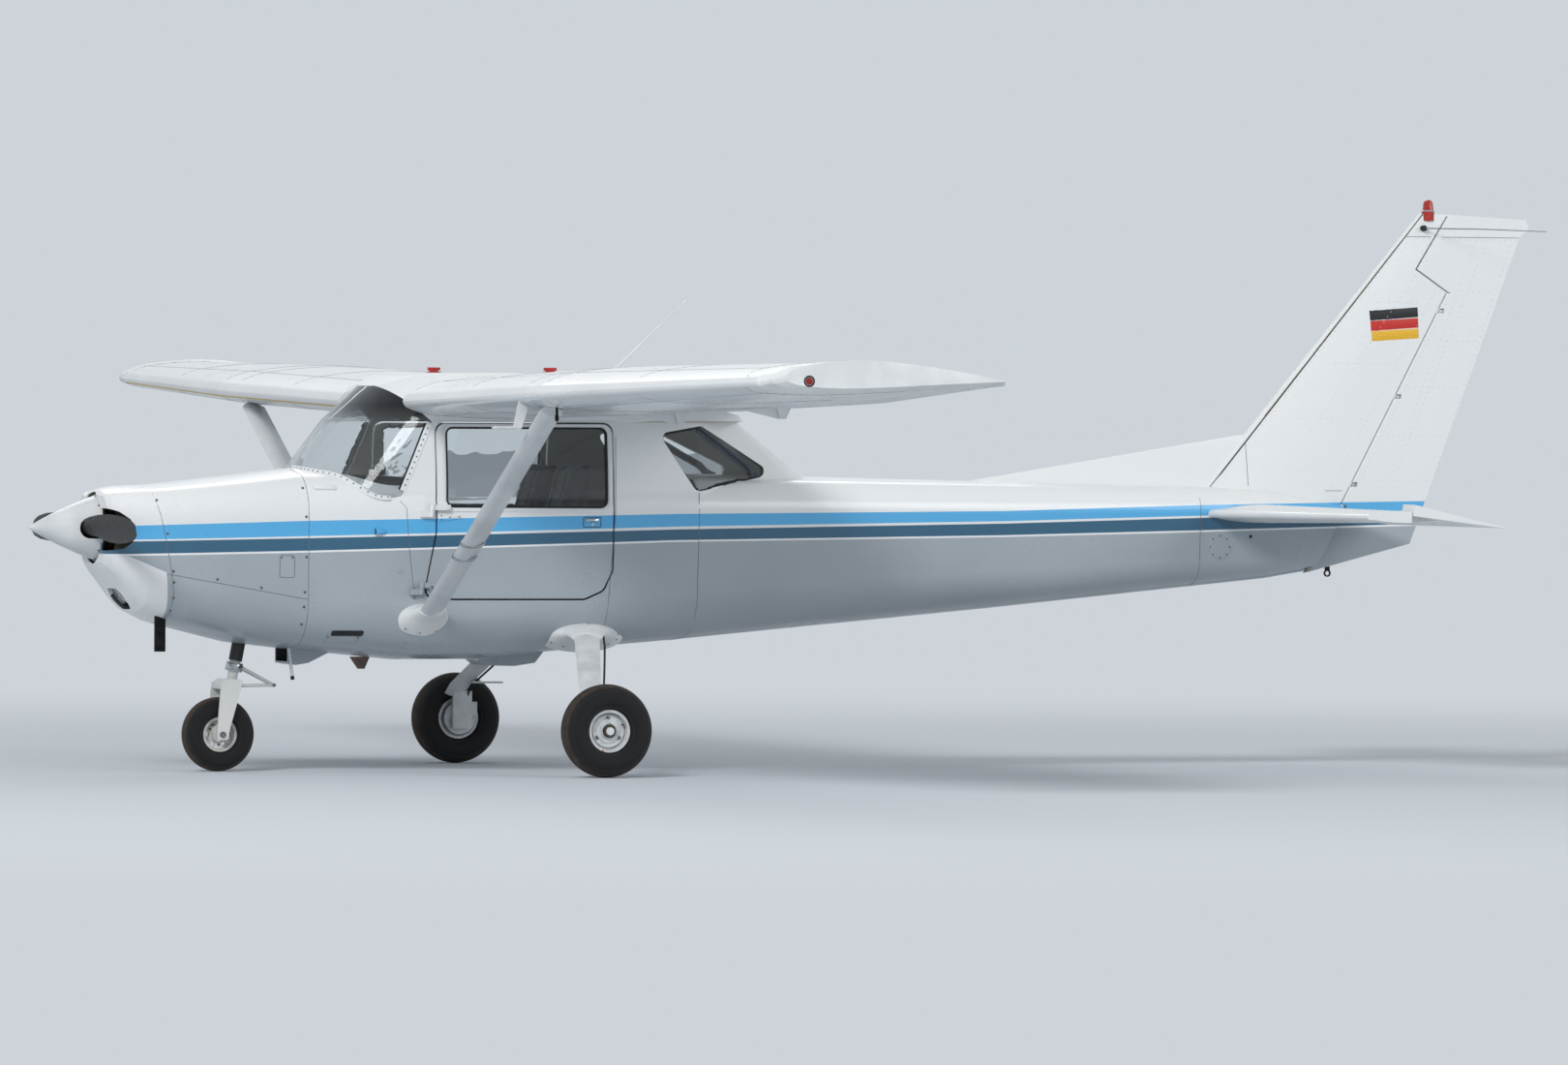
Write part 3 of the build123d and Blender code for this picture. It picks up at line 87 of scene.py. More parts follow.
# Studio: a wide floor of pale grey matt paint that keeps the aircraft's soft shadow and fades into
# an even pale room further off, with three large soft boxes for lamps.
FLOOR_HALF = 90.0
FLOOR_NEAR = -70
FLOOR_FAR = 250
FADE_FROM = 5.0
FADE_TO = 16.0
ROOM_GREY = "#CDD3D9"


def srgb(code, alpha=1.0):
    """A linear colour from an sRGB hex value."""
    parts = [int(code[i:i + 2], 16) / 255 for i in (1, 3, 5)]
    linear = [p / 12.92 if p <= 0.04045 else ((p + 0.055) / 1.055) ** 2.4 for p in parts]
    return (*linear, alpha)


def node(tree, kind, settings=(), links=()):
    """Adds one node with its settings, and joins (input, node, output) links into it."""
    made = tree.nodes.new(kind)
    for key, value in settings:
        if isinstance(key, int) or key in made.inputs:
            made.inputs[key].default_value = value
        else:
            setattr(made, key, value)
    for slot, source, output in links:
        tree.links.new(source.outputs[output], made.inputs[slot])
    return made


def blank(name):
    """A new material and its empty tree of nodes."""
    made = bpy.data.materials.new(name)
    made.use_nodes = True
    made.node_tree.nodes.clear()
    return made, made.node_tree


studio = bpy.data.meshes.new("floor")
studio.from_pydata([
    (-FLOOR_HALF, FLOOR_NEAR, 0), (FLOOR_HALF, FLOOR_NEAR, 0),
    (FLOOR_HALF, FLOOR_FAR, 0), (-FLOOR_HALF, FLOOR_FAR, 0)], [], [(0, 1, 2, 3)])
floor = bpy.data.objects.new("floor", studio)
bpy.context.collection.objects.link(floor)
floor_paint, tree = blank("matt_floor_paint")
place = node(tree, "ShaderNodeTexCoord")
away = node(tree, "ShaderNodeVectorMath", [("operation", "LENGTH")], [(0, place, "Object")])
fade = node(tree, "ShaderNodeMapRange", [
    (1, FADE_FROM), (2, FADE_TO), ("interpolation_type", "SMOOTHSTEP")], [(0, away, "Value")])
ray = node(tree, "ShaderNodeLightPath")
seen = node(tree, "ShaderNodeMath", [("operation", "MULTIPLY")], [(0, fade, 0), (1, ray, "Is Camera Ray")])
matt = node(tree, "ShaderNodeBsdfDiffuse", [("Color", srgb("#CFD4D9"))])
glow = node(tree, "ShaderNodeEmission", [("Color", srgb(ROOM_GREY)), ("Strength", 1.0)])
blend = node(tree, "ShaderNodeMixShader", [], [(0, seen, 0), (1, matt, 0), (2, glow, 0)])
node(tree, "ShaderNodeOutputMaterial", [], [("Surface", blend, 0)])
floor.data.materials.append(floor_paint)

room = bpy.data.worlds.new("pale_room")
bpy.context.scene.world = room
room.use_nodes = True
tree = room.node_tree
tree.nodes.clear()
ray = node(tree, "ShaderNodeLightPath")
direct = node(tree, "ShaderNodeMath", [("operation", "MAXIMUM")], [
    (0, ray, "Is Camera Ray"), (1, ray, "Is Transmission Ray")])
seen = node(tree, "ShaderNodeMath", [("operation", "MAXIMUM")], [(0, direct, 0), (1, ray, "Is Glossy Ray")])
soft = node(tree, "ShaderNodeBackground", [("Color", srgb("#EEF2F6")), ("Strength", 0.5)])
pale = node(tree, "ShaderNodeBackground", [("Color", srgb(ROOM_GREY)), ("Strength", 1.0)])
blend = node(tree, "ShaderNodeMixShader", [], [(0, seen, 0), (1, soft, 0), (2, pale, 0)])
node(tree, "ShaderNodeOutputWorld", [], [("Surface", blend, 0)])

AIM = Vector((0.0, 0.0, 1.0))
LAMPS = [
    # name, place, size, watts
    ("key_light", (-24.0, -26.0, 22.0), 10.0, 9000.0),
    ("fill_light", (32.0, -32.0, 16.0), 18.0, 4300.0),
    ("back_light", (5.0, 30.0, 22.0), 18.0, 2200.0),
]
for name, spot, size, watts in LAMPS:
    lamp = bpy.data.lights.new(name, "AREA")
    lamp.size = size
    lamp.energy = watts
    lamp_object = bpy.data.objects.new(name, lamp)
    bpy.context.collection.objects.link(lamp_object)
    lamp_object.location = spot
    lamp_object.rotation_euler = (AIM - Vector(spot)).to_track_quat("-Z", "Y").to_euler()
    # the key lamp would lie as a white square in the curved screen
    lamp_object.visible_glossy = name != "key_light"


# Fuselage skins: sheet aluminium, primed and sprayed with gloss paint, white above the waist and
# grey below, with two blue stripes and thin white lines between. Sprayed and polished, so it
# mirrors softly, with a faint orange-peel ripple. Inside, the cabin is lined in warm grey.
WHITE = "#E6E8E9"
GREY = "#A3ABB1"
LIGHT_BLUE = "#55AEE2"
DARK_BLUE = "#2F5F7B"
LINING = "#B7B2A6"
PIN_LINE = 0.009
LENGTH = 7.34
STRIPES = [
    # station aft of the spinner's tip, light stripe's top and bottom, dark stripe's top and bottom
    (0.0, 1.112, 1.052, 1.046, 0.990),
    (0.375, 1.126, 1.062, 1.055, 0.998),
    (1.198, 1.152, 1.082, 1.073, 1.016),
    (2.935, 1.188, 1.130, 1.117, 1.068),
    (4.617, 1.203, 1.156, 1.145, 1.091),
    (5.612, 1.232, 1.182, 1.172, 1.114),
    (7.340, 1.262, 1.222, 1.212, 1.160),
]
# The grey stops on the nose bowl along a slanting line; below it the bowl is white
CHIN_LINE = [(0.0, 1.080), (0.360, 0.997), (0.563, 0.907), (0.586, 0.400), (7.340, 0.400)]
# A float curve holds values from nought to one, so heights are counted from here
CURVE_BASE = 0.4


def edge_curve(tree, points, across):
    """The height of a paint edge at each station, as a curve over the aircraft's length."""
    curve = node(tree, "ShaderNodeFloatCurve", [], [("Value", across, 0)])
    line = curve.mapping.curves[0]
    line.points[0].location = (0.0, points[0][1] - CURVE_BASE)
    line.points[1].location = (1.0, points[-1][1] - CURVE_BASE)
    for station, height in points[1:-1]:
        line.points.new(station / LENGTH, height - CURVE_BASE)
    for point in line.points:
        point.handle_type = "VECTOR"
    curve.mapping.update()
    return node(tree, "ShaderNodeMath", [("operation", "ADD"), (1, CURVE_BASE)], [(0, curve, 0)])


def above(tree, height, edge, shift=0.0):
    """One where the skin is above the edge, nought below."""
    moved = node(tree, "ShaderNodeMath", [("operation", "ADD"), (1, shift)], [(0, edge, 0)])
    return node(tree, "ShaderNodeMath", [("operation", "GREATER_THAN")], [(0, height, "Z"), (1, moved, 0)])


def striped(name, plain=False):
    """The paint scheme; the plain form leaves the stripes off, for wings and tailplane."""
    made, tree = blank(name)
    place = node(tree, "ShaderNodeTexCoord")
    height = node(tree, "ShaderNodeSeparateXYZ", [], [(0, place, "Object")])
    across = node(tree, "ShaderNodeMapRange", [(1, NOSE), (2, NOSE + LENGTH)], [(0, height, "X")])
    haze = node(tree, "ShaderNodeTexNoise", [("Scale", 2.2), ("Detail", 5.0)], [("Vector", place, "Object")])
    age = node(tree, "ShaderNodeMapRange", [(1, 0.3), (2, 0.7)], [(0, haze, 0)])
    colour = node(tree, "ShaderNodeMix", [("data_type", "RGBA"), (6, srgb(WHITE)), (7, srgb("#DDE0E1"))], [
        (0, age, 0)])
    if not plain:
        edges = [edge_curve(tree, [(r[0], r[c]) for r in STRIPES], across) for c in (1, 2, 3, 4)]
        chin = edge_curve(tree, CHIN_LINE, across)
        grey = node(tree, "ShaderNodeMix", [("data_type", "RGBA"), (6, srgb(GREY)), (7, srgb("#9AA3A9"))], [
            (0, age, 0)])
        low = above(tree, height, chin)
        colour = node(tree, "ShaderNodeMix", [("data_type", "RGBA")], [
            (0, low, 0), (6, colour, 2), (7, grey, 2)])
        bands = [
            (edges[3], -PIN_LINE, WHITE), (edges[3], 0.0, DARK_BLUE), (edges[2], 0.0, WHITE),
            (edges[1], 0.0, LIGHT_BLUE), (edges[0], 0.0, WHITE),
        ]
        for edge, shift, code in bands:
            mask = above(tree, height, edge, shift)
            colour = node(tree, "ShaderNodeMix", [("data_type", "RGBA"), (7, srgb(code))], [
                (0, mask, 0), (6, colour, 2)])
        # faces that look in towards the middle of the fuselage are the cabin's lining and carpet
        facing = node(tree, "ShaderNodeNewGeometry")
        outward = node(tree, "ShaderNodeVectorMath", [("operation", "SUBTRACT"), (1, (0.0, 0.0, 1.15))], [
            (0, place, "Object")])
        flat_out = node(tree, "ShaderNodeVectorMath", [("operation", "MULTIPLY"), (1, (0.0, 1.0, 1.0))], [
            (0, outward, 0)])
        inside = node(tree, "ShaderNodeVectorMath", [("operation", "DOT_PRODUCT")], [
            (0, facing, "True Normal"), (1, flat_out, 0)])
        hidden = node(tree, "ShaderNodeMath", [("operation", "LESS_THAN"), (1, -0.03)], [
            (0, inside, "Value")])
        carpet = node(tree, "ShaderNodeMapRange", [(1, 0.86), (2, 0.88)], [(0, height, "Z")])
        lining = node(tree, "ShaderNodeMix", [
            ("data_type", "RGBA"), (6, srgb("#3A3C3F")), (7, srgb(LINING))], [(0, carpet, 0)])
        colour = node(tree, "ShaderNodeMix", [("data_type", "RGBA")], [
            (0, hidden, 0), (6, colour, 2), (7, lining, 2)])
    # orange peel is 5.5 mm across and the sheet's own waves about 200 mm
    peel = node(tree, "ShaderNodeTexNoise", [("Scale", 180.0), ("Detail", 2.0)], [
        ("Vector", place, "Object")])
    dents = node(tree, "ShaderNodeTexNoise", [("Scale", 5.0), ("Detail", 1.0)], [
        ("Vector", place, "Object")])
    waves = node(tree, "ShaderNodeBump", [("Strength", 0.25), ("Distance", 0.004)], [("Height", dents, 0)])
    ripple = node(tree, "ShaderNodeBump", [("Strength", 0.03), ("Distance", 0.002)], [
        ("Height", peel, 0), ("Normal", waves, 0)])
    dull = node(tree, "ShaderNodeMapRange", [(1, 0.3), (2, 0.7), (3, 0.26), (4, 0.36)], [(0, haze, 0)])
    paint = node(tree, "ShaderNodeBsdfPrincipled", [("Coat Weight", 0.35), ("Coat Roughness", 0.08)], [
        ("Base Color", colour, 2), ("Normal", ripple, 0), ("Roughness", dull, 0)])
    node(tree, "ShaderNodeOutputMaterial", [], [("Surface", paint, 0)])
    return made


def dress(names, material):
    """Gives CAD pieces their finish."""
    for name in names:
        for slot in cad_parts[name].material_slots:
            slot.material = material


SKINS = [
    "cabin_side_left", "cabin_side_right", "cabin_roof", "cabin_belly", "cabin_deck", "tail_cone",
    "cowl_upper", "cowl_lower", "nose_bowl", "door_left", "door_right", "fin", "rudder", "firewall",
]
skin_paint = striped("gloss_paint_striped")
plain_paint = striped("gloss_paint_white", plain=True)
dress(SKINS, skin_paint)


# Seams and fasteners of the fuselage: the skins overlap at frames and stringers and are held by
# round-head rivets, painted over. The cowl and fairings are held by plated screws. Thin dark lines
# stand for the shadow at each lap; at 2.6 mm they are as coarse as they need to be to show.
RIVET_R = 0.0032
SCREW_R = 0.0065
LINE_WIDE = 0.0026
LINE_THICK = 0.001
CLEAR_OUT = 700
RAY_START = 1.5


def at(station, side, height):
    """A point from its station aft of the spinner's tip, side and height, in millimetres."""
    return Vector((NOSE + station / 1000, side / 1000, height / 1000))


def beside(run, side, out=CLEAR_OUT):
    """A run of (station, height) pairs as points set off to one side, clear of the skin."""
    return [at(station, side * out, height) for station, height in run]


def inward(side):
    """The way in from one side; port is -1, starboard 1."""
    return Vector((0, -side, 0))


def skin_of(names):
    """CAD pieces as one surface that fasteners and trim are laid on."""
    points, faces = [], []
    for name in names:
        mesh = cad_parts[name].data
        first = len(points)
        points += [v.co.copy() for v in mesh.vertices]
        faces += [[first + i for i in p.vertices] for p in mesh.polygons]
    return BVHTree.FromPolygons(points, faces)


def lay(skin, point, way, lift=0.0):
    """Where a line through the point, going in along way, first meets the skin, with the normal."""
    hit, normal, _, _ = skin.ray_cast(point - way * RAY_START, way)
    if hit is None:
        return None
    if normal.dot(way) > 0:
        normal = -normal
    return hit + normal * lift, normal


def along(points, step):
    """Points at even steps along a line of straight runs."""
    result = []
    for start, end in zip(points, points[1:]):
        count = max(1, round((end - start).length / step))
        result += [start.lerp(end, i / count) for i in range(count)]
    return result + [points[-1]]


def feet_at(skin, points, way, lift=0.0):
    """Feet and normals on the skin, straight in from each point; points that miss it are left out."""
    found = [lay(skin, p, way, lift) for p in points]
    return [f for f in found if f is not None]


def laid(skin, points, way, step, lift=0.0):
    """Feet and normals on the skin along a line."""
    return feet_at(skin, along(points, step), way, lift)


def oval(station, height, half_long, half_high, count, first_deg=0):
    """Even steps round an oval in side view, as (station, height) pairs."""
    angles = [math.radians(first_deg + 360 * k / count) for k in range(count)]
    return [(station + half_long * math.cos(a), height + half_high * math.sin(a)) for a in angles]


def hoop(skin, station, middle, first, last, step_deg):
    """Feet round the skin at one station, from an angle to another, counted from straight down."""
    result = []
    count = max(1, round((last - first) / step_deg))
    for i in range(count + 1):
        angle = math.radians(first + (last - first) * i / count)
        way = Vector((0, -math.sin(angle), math.cos(angle)))
        found = lay(skin, at(station, 0, middle), way)
        if found:
            result.append(found)
    return result


def strip(feet, wide, thick, closed=False):
    """A flat strip laid over feet on a skin, as points and faces."""
    count = len(feet)
    points, faces = [], []
    for i, (foot, normal) in enumerate(feet):
        before = feet[i - 1 if i or closed else 0][0]
        after = feet[(i + 1) % count if closed else min(i + 1, count - 1)][0]
        out = (after - before).cross(normal).normalized()
        for across, up in ((-0.5, -0.4), (-0.4, 1.0), (0.4, 1.0), (0.5, -0.4)):
            points.append(foot + out * wide * across + normal * thick * up)
    for i in range(count if closed else count - 1):
        a, b = 4 * i, 4 * ((i + 1) % count)
        faces += [(a + k, b + k, b + (k + 1) % 4, a + (k + 1) % 4) for k in range(4)]
    if not closed:
        end = 4 * count - 4
        faces += [(0, 1, 2, 3), (end + 3, end + 2, end + 1, end)]
    return points, faces


def seam(skin, points, way, step, closed=False):
    """The shadow line of a lap, laid on a skin."""
    feet = laid(skin, points + points[:1] if closed else points, way, step)
    return strip(feet[:-1] if closed else feet, LINE_WIDE, LINE_THICK, closed)


def spokes(first, second, count):
    """Even directions round a circle, from two that are square to each other."""
    angles = [2 * math.pi * k / count for k in range(count)]
    return [first * math.cos(a) + second * math.sin(a) for a in angles]


def closed_tube(rings, sides):
    """Faces that join rings of points in turn, and the two end faces last."""
    faces = []
    for r in range(rings - 1):
        a, b = r * sides, (r + 1) * sides
        faces += [(a + k, a + (k + 1) % sides, b + (k + 1) % sides, b + k) for k in range(sides)]
    return faces + [tuple(range((rings - 1) * sides, rings * sides)), tuple(reversed(range(sides)))]


def head(foot, normal, radius, high, sides=6, recess=0.0):
    """One fastener's head: a low dome, or a pan with a sunk middle where recess is given."""
    first = normal.orthogonal().normalized()
    second = normal.cross(first)
    rings = [(1.0, -0.3), (0.72, 0.8), (0.3, 1.0)]
    if recess:
        rings = [(1.0, -0.3), (0.92, 0.7), (0.6, 1.0), (0.42, 1.0), (0.3, 1.0 - recess)]
    arms = spokes(first, second, sides)
    points = [foot + arm * radius * share + normal * high * up for share, up in rings for arm in arms]
    return points, closed_tube(len(rings), sides)


def rivets(feet, radius=RIVET_R):
    """A row of round rivet heads."""
    return [head(foot, normal, radius, radius * 0.45) for foot, normal in feet]


def screws(feet, radius=SCREW_R):
    """A row of pan-head screws with a driver's recess."""
    return [head(foot, normal, radius, radius * 0.4, 12, 0.9) for foot, normal in feet]


def piece(name, parts, material, body, smooth=35):
    """One mesh from parts of (points, faces), with its finish, riding on a body."""
    points, faces = [], []
    for part_points, part_faces in parts:
        first = len(points)
        points += [tuple(p) for p in part_points]
        faces += [tuple(first + i for i in face) for face in part_faces]
    mesh = bpy.data.meshes.new(name)
    mesh.from_pydata(points, [], faces)
    mesh.validate()
    mesh.materials.append(material)
    mesh.shade_smooth()
    mesh.set_sharp_from_angle(angle=math.radians(smooth))
    made = bpy.data.objects.new(name, mesh)
    bpy.context.collection.objects.link(made)
    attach(made, body)
    return made


def mottled(name, code, second, drift_mm, grain_mm, relief_mm, settings):
    """A finish whose colour drifts between two tones, with a relief of fine grain."""
    made, tree = blank(name)
    place = node(tree, "ShaderNodeTexCoord")
    drift = node(tree, "ShaderNodeTexNoise", [("Scale", 1000 / drift_mm), ("Detail", 4.0)], [
        ("Vector", place, "Object")])
    tone = node(tree, "ShaderNodeMapRange", [(1, 0.35), (2, 0.65)], [(0, drift, 0)])
    colour = node(tree, "ShaderNodeMix", [("data_type", "RGBA"), (6, srgb(code)), (7, srgb(second))], [
        (0, tone, 0)])
    grain = node(tree, "ShaderNodeTexNoise", [("Scale", 1000 / grain_mm), ("Detail", 2.0)], [
        ("Vector", place, "Object")])
    relief = node(tree, "ShaderNodeBump", [("Strength", 0.5), ("Distance", relief_mm / 1000)], [
        ("Height", grain, 0)])
    body = node(tree, "ShaderNodeBsdfPrincipled", settings, [
        ("Base Color", colour, 2), ("Normal", relief, 0)])
    node(tree, "ShaderNodeOutputMaterial", [], [("Surface", body, 0)])
    return made


SIDE_LINES = [
    # seams in side view, as (station, height)
    [(484, 1300), (528, 1122), (560, 960), (582, 816), (584, 700)],
    [(548, 908), (1196, 794)],
    [(1612, 1244), (1639, 1211), (1651, 1046), (1680, 798)],
    [(1665, 603), (1649, 545)],
    [(2640, 1540), (2634, 1197), (2600, 680)],
]
SIDE_RIVETS = [
    # rivet rows in side view: the run and the pitch, in millimetres
    ([(1218, 650), (1218, 1290)], 32), ([(1206, 813), (1631, 831)], 32),
    ([(1206, 700), (1690, 640)], 32), ([(1206, 590), (1660, 603)], 32),
    ([(1632, 1200), (1640, 1046), (1664, 800)], 32), ([(1666, 1200), (1674, 1046), (1696, 820)], 32),
    ([(2650, 1530), (2648, 1217), (2612, 680)], 32), ([(2660, 1222), (3040, 1210)], 30),
    ([(3060, 1210), (3524, 1198)], 30), ([(2660, 1024), (3040, 1018)], 32),
    ([(3060, 1018), (5600, 1010)], 40), ([(1949, 692), (2590, 665)], 30),
    ([(1760, 728), (1930, 720)], 30), ([(2680, 720), (3040, 735)], 32),
    ([(3060, 740), (5600, 905)], 40), ([(3560, 1230), (5600, 1290)], 40),
]
COWL_SCREWS = [
    # screws in side view, as (station, height)
    (504, 1243), (546, 1092), (575, 920), (579, 870), (584, 800), (584, 741), (577, 702), (1180, 1300),
    (1184, 1170), (1187, 987), (1180, 828), (1178, 760), (1176, 680), (776, 885), (979, 847),
]
RINGS = [
    # station, middle height, first and last angle from straight down, rivet step in degrees
    (3062, 1000, -140, 140, 3.6), (3640, 1020, -150, 150, 4.4), (4130, 1040, -150, 150, 5.2),
    (4620, 1060, -150, 150, 6.2), (5120, 1080, -150, 150, 7.4), (5618, 1100, -140, 140, 9.0),
    (5644, 1100, -140, 140, 9.0), (6040, 1110, -120, 120, 11.0),
    (1230, 1000, -150, -115, 3.0), (1230, 1000, 115, 150, 3.0),
]
RING_SEAMS = [
    # station, middle height, half the angle, step in degrees
    (1197, 1000, 160, 4), (3050, 1000, 128, 4), (5631, 1100, 140, 6),
]
joint_shadow = mottled("joint_shadow_filler", "#70767B", "#5C6166", 40, 4, 0.1, [("Roughness", 0.7)])
plated_screw = mottled("plated_steel_screws", "#8F9498", "#5E5A54", 9, 1.5, 0.1, [
    ("Metallic", 0.8), ("Roughness", 0.42)])
fuselage = skin_of([n for n in SKINS if n not in ("fin", "rudder")])
lines, dots, bolts = [], [], []
for side in (-1, 1):
    lines += [seam(fuselage, beside(run, side), inward(side), 0.03) for run in SIDE_LINES]
    for run, pitch in SIDE_RIVETS:
        dots += rivets(laid(fuselage, beside(run, side), inward(side), pitch / 1000))
    bolts += screws(feet_at(fuselage, beside(COWL_SCREWS, side), inward(side)))
for station, middle, half, step in RING_SEAMS:
    lines.append(strip(hoop(fuselage, station, middle, -half, half, step), LINE_WIDE, LINE_THICK))
for station, middle, first, last, step in RINGS:
    dots += rivets(hoop(fuselage, station, middle, first, last, step))
piece("fuselage_seam_lines", lines, joint_shadow, "airframe")
piece("fuselage_rivets", dots, skin_paint, "airframe", 60)
piece("fuselage_screws", bolts, plated_screw, "airframe", 60)


# Spinner: a spun aluminium cone, sprayed white, on a bright back plate; screws hold it to the plate.
# The propeller is one aluminium forging, matt black so that it doesn't dazzle, worn bare at its
# leading edges by grit. Behind it turns the starter's ring gear.
THRUST = 1113
AFT = Vector((1, 0, 0))
GEAR_TEETH = 112
spinner_paint = mottled("satin_paint_on_spun_aluminium", "#D9DCDD", "#C6CACC", 160, 1.2, 0.05, [
    ("Roughness", 0.34), ("Coat Weight", 0.3), ("Coat Roughness", 0.15)])
dress(["spinner"], spinner_paint)
bright_metal = mottled("polished_aluminium", "#C9CCCE", "#A9ADB0", 30, 1.0, 0.05, [
    ("Metallic", 1.0), ("Roughness", 0.24)])
blade_paint, tree = blank("matt_black_paint_worn")
place = node(tree, "ShaderNodeTexCoord")
speck = node(tree, "ShaderNodeTexNoise", [("Scale", 90.0), ("Detail", 5.0)], [("Vector", place, "Object")])
edge = node(tree, "ShaderNodeNewGeometry")
worn = node(tree, "ShaderNodeMath", [("operation", "MULTIPLY_ADD"), (2, -0.12)], [
    (0, edge, "Pointiness"), (1, speck, 0)])
bare = node(tree, "ShaderNodeMapRange", [(1, 0.20), (2, 0.26)], [(0, worn, 0)])
colour = node(tree, "ShaderNodeMix", [("data_type", "RGBA"), (6, srgb("#1C1E20")), (7, srgb("#8C8F91"))], [
    (0, bare, 0)])
chips = node(tree, "ShaderNodeBump", [("Strength", 0.15), ("Distance", 0.0004)], [("Height", speck, 0)])
forged = node(tree, "ShaderNodeBsdfPrincipled", [("Roughness", 0.52)], [
    ("Base Color", colour, 2), ("Metallic", bare, 0), ("Normal", chips, 0)])
node(tree, "ShaderNodeOutputMaterial", [], [("Surface", forged, 0)])
dress(["propeller"], blade_paint)


def turned(profile, origin, axis, sides=32):
    """A turned shape: (distance along the axis, radius) pairs in millimetres, spun round the axis."""
    axis = Vector(axis).normalized()
    first = axis.orthogonal().normalized()
    second = axis.cross(first)
    arms = spokes(first, second, sides)
    points = [origin + axis * far / 1000 + arm * radius / 1000 for far, radius in profile for arm in arms]
    faces = closed_tube(len(profile), sides)
    if profile[0] != profile[-1]:
        return points, faces
    last = (len(profile) - 1) * sides
    return points[:last], [tuple(v - last if v >= last else v for v in face) for face in faces[:-2]]


hub = at(0, 0, THRUST)
back_ring = turned([(312, 151), (312, 153), (321, 153.6), (321, 151), (312, 151)], hub, AFT, 96)
piece("spinner_back_ring", [back_ring], bright_metal, "propeller")
cone = skin_of(["spinner"])
cone_screws = []
for k in range(12):
    angle = math.radians(15 + 30 * k)
    way = Vector((0, -math.cos(angle), -math.sin(angle)))
    found = lay(cone, at(302, 0, THRUST), way)
    if found:
        cone_screws.append(found)
piece("spinner_screws", screws(cone_screws, 0.005), plated_screw, "propeller")
gear_steel = mottled("blackened_gear_steel", "#3B3733", "#5A4F46", 25, 2, 0.1, [
    ("Metallic", 0.7), ("Roughness", 0.5)])
dress(["crankshaft"], gear_steel)
teeth = []
for k in range(GEAR_TEETH):
    angle = 2 * math.pi * k / GEAR_TEETH
    arm = Vector((0, math.cos(angle), math.sin(angle)))
    side = Vector((0, -math.sin(angle), math.cos(angle)))
    points = []
    for station in (349, 358):
        for across, out in ((-2.4, 145), (-1.4, 150), (1.4, 150), (2.4, 145)):
            points.append(at(station, 0, THRUST) + arm * out / 1000 + side * across / 1000)
    faces = [(0, 1, 2, 3), (7, 6, 5, 4)] + [(i, i + 4, (i + 1) % 4 + 4, (i + 1) % 4) for i in range(4)]
    teeth.append((points, faces))
piece("ring_gear_teeth", teeth, gear_steel, "propeller", 20)


# Engine bay: a plain sand-cast block stands for the engine. A rusty steel pipe carries the exhaust
# out under the cowl, and a white hose drains the bay.
casting = mottled("sand_cast_aluminium_oily", "#4B4A47", "#2E2D2B", 60, 3, 0.4, [
    ("Metallic", 0.4), ("Roughness", 0.62)])
dress(["engine_block"], casting)
exhaust_steel = mottled("sooted_steel", "#2C2826", "#191716", 35, 2, 0.2, [
    ("Metallic", 0.8), ("Roughness", 0.55)])
dress(["exhaust_pipe", "tie_downs"], exhaust_steel)
# No bar here runs this way, so it is safe to cross with
OFF_AXIS = Vector((0.31, 0.17, 0.93))


def bar(path, radii, sides=12):
    """A round bar through the points, with a radius in millimetres at each."""
    points = []
    for i, spot in enumerate(path):
        way = (path[min(i + 1, len(path) - 1)] - path[max(i - 1, 0)]).normalized()
        first = way.cross(OFF_AXIS).normalized()
        points += [spot + arm * radii[i] / 1000 for arm in spokes(first, way.cross(first), sides)]
    return points, closed_tube(len(path), sides)


white_plastic = mottled("moulded_white_plastic", "#E2E4E4", "#D3D6D7", 120, 2.5, 0.06, [
    ("Roughness", 0.38), ("IOR", 1.5)])
drain = [at(1206, -100, 600), at(1209, -100, 549), at(1220, -100, 470), at(1226, -100, 427)]
piece("bay_drain_hose", [bar(drain, [8, 8, 8, 8])], white_plastic, "airframe")
piece("bay_drain_end", [bar([at(1224.5, -100, 438), at(1226.5, -100, 421)], [9, 8.6])], exhaust_steel,
      "airframe")


# Landing lamps: two sealed-beam lamps behind the chin opening, each a bright dished reflector with a
# small bulb, behind a pressed-glass face, in a chrome bezel.
CHIN = at(425, 0, 788)
CHIN_OUT = Vector((-0.777, 0, -0.63))
dress(["landing_lamps"], bright_metal)
mirror = mottled("vacuum_plated_reflector", "#D8DADB", "#BFC3C5", 20, 2, 0.02, [
    ("Metallic", 1.0), ("Roughness", 0.12)])
lamp_glass, tree = blank("pressed_lamp_glass")
place = node(tree, "ShaderNodeTexCoord")
flutes = node(tree, "ShaderNodeTexWave", [("Scale", 42.0), ("bands_direction", "Y")], [
    ("Vector", place, "Object")])
bumps = node(tree, "ShaderNodeBump", [("Strength", 0.5), ("Distance", 0.001)], [("Height", flutes, 1)])
clear = node(tree, "ShaderNodeBsdfPrincipled", [
    ("Base Color", srgb("#F2F5F6")), ("Transmission Weight", 1.0), ("IOR", 1.5), ("Roughness", 0.05)], [
    ("Normal", bumps, 0)])
node(tree, "ShaderNodeOutputMaterial", [], [("Surface", clear, 0)])
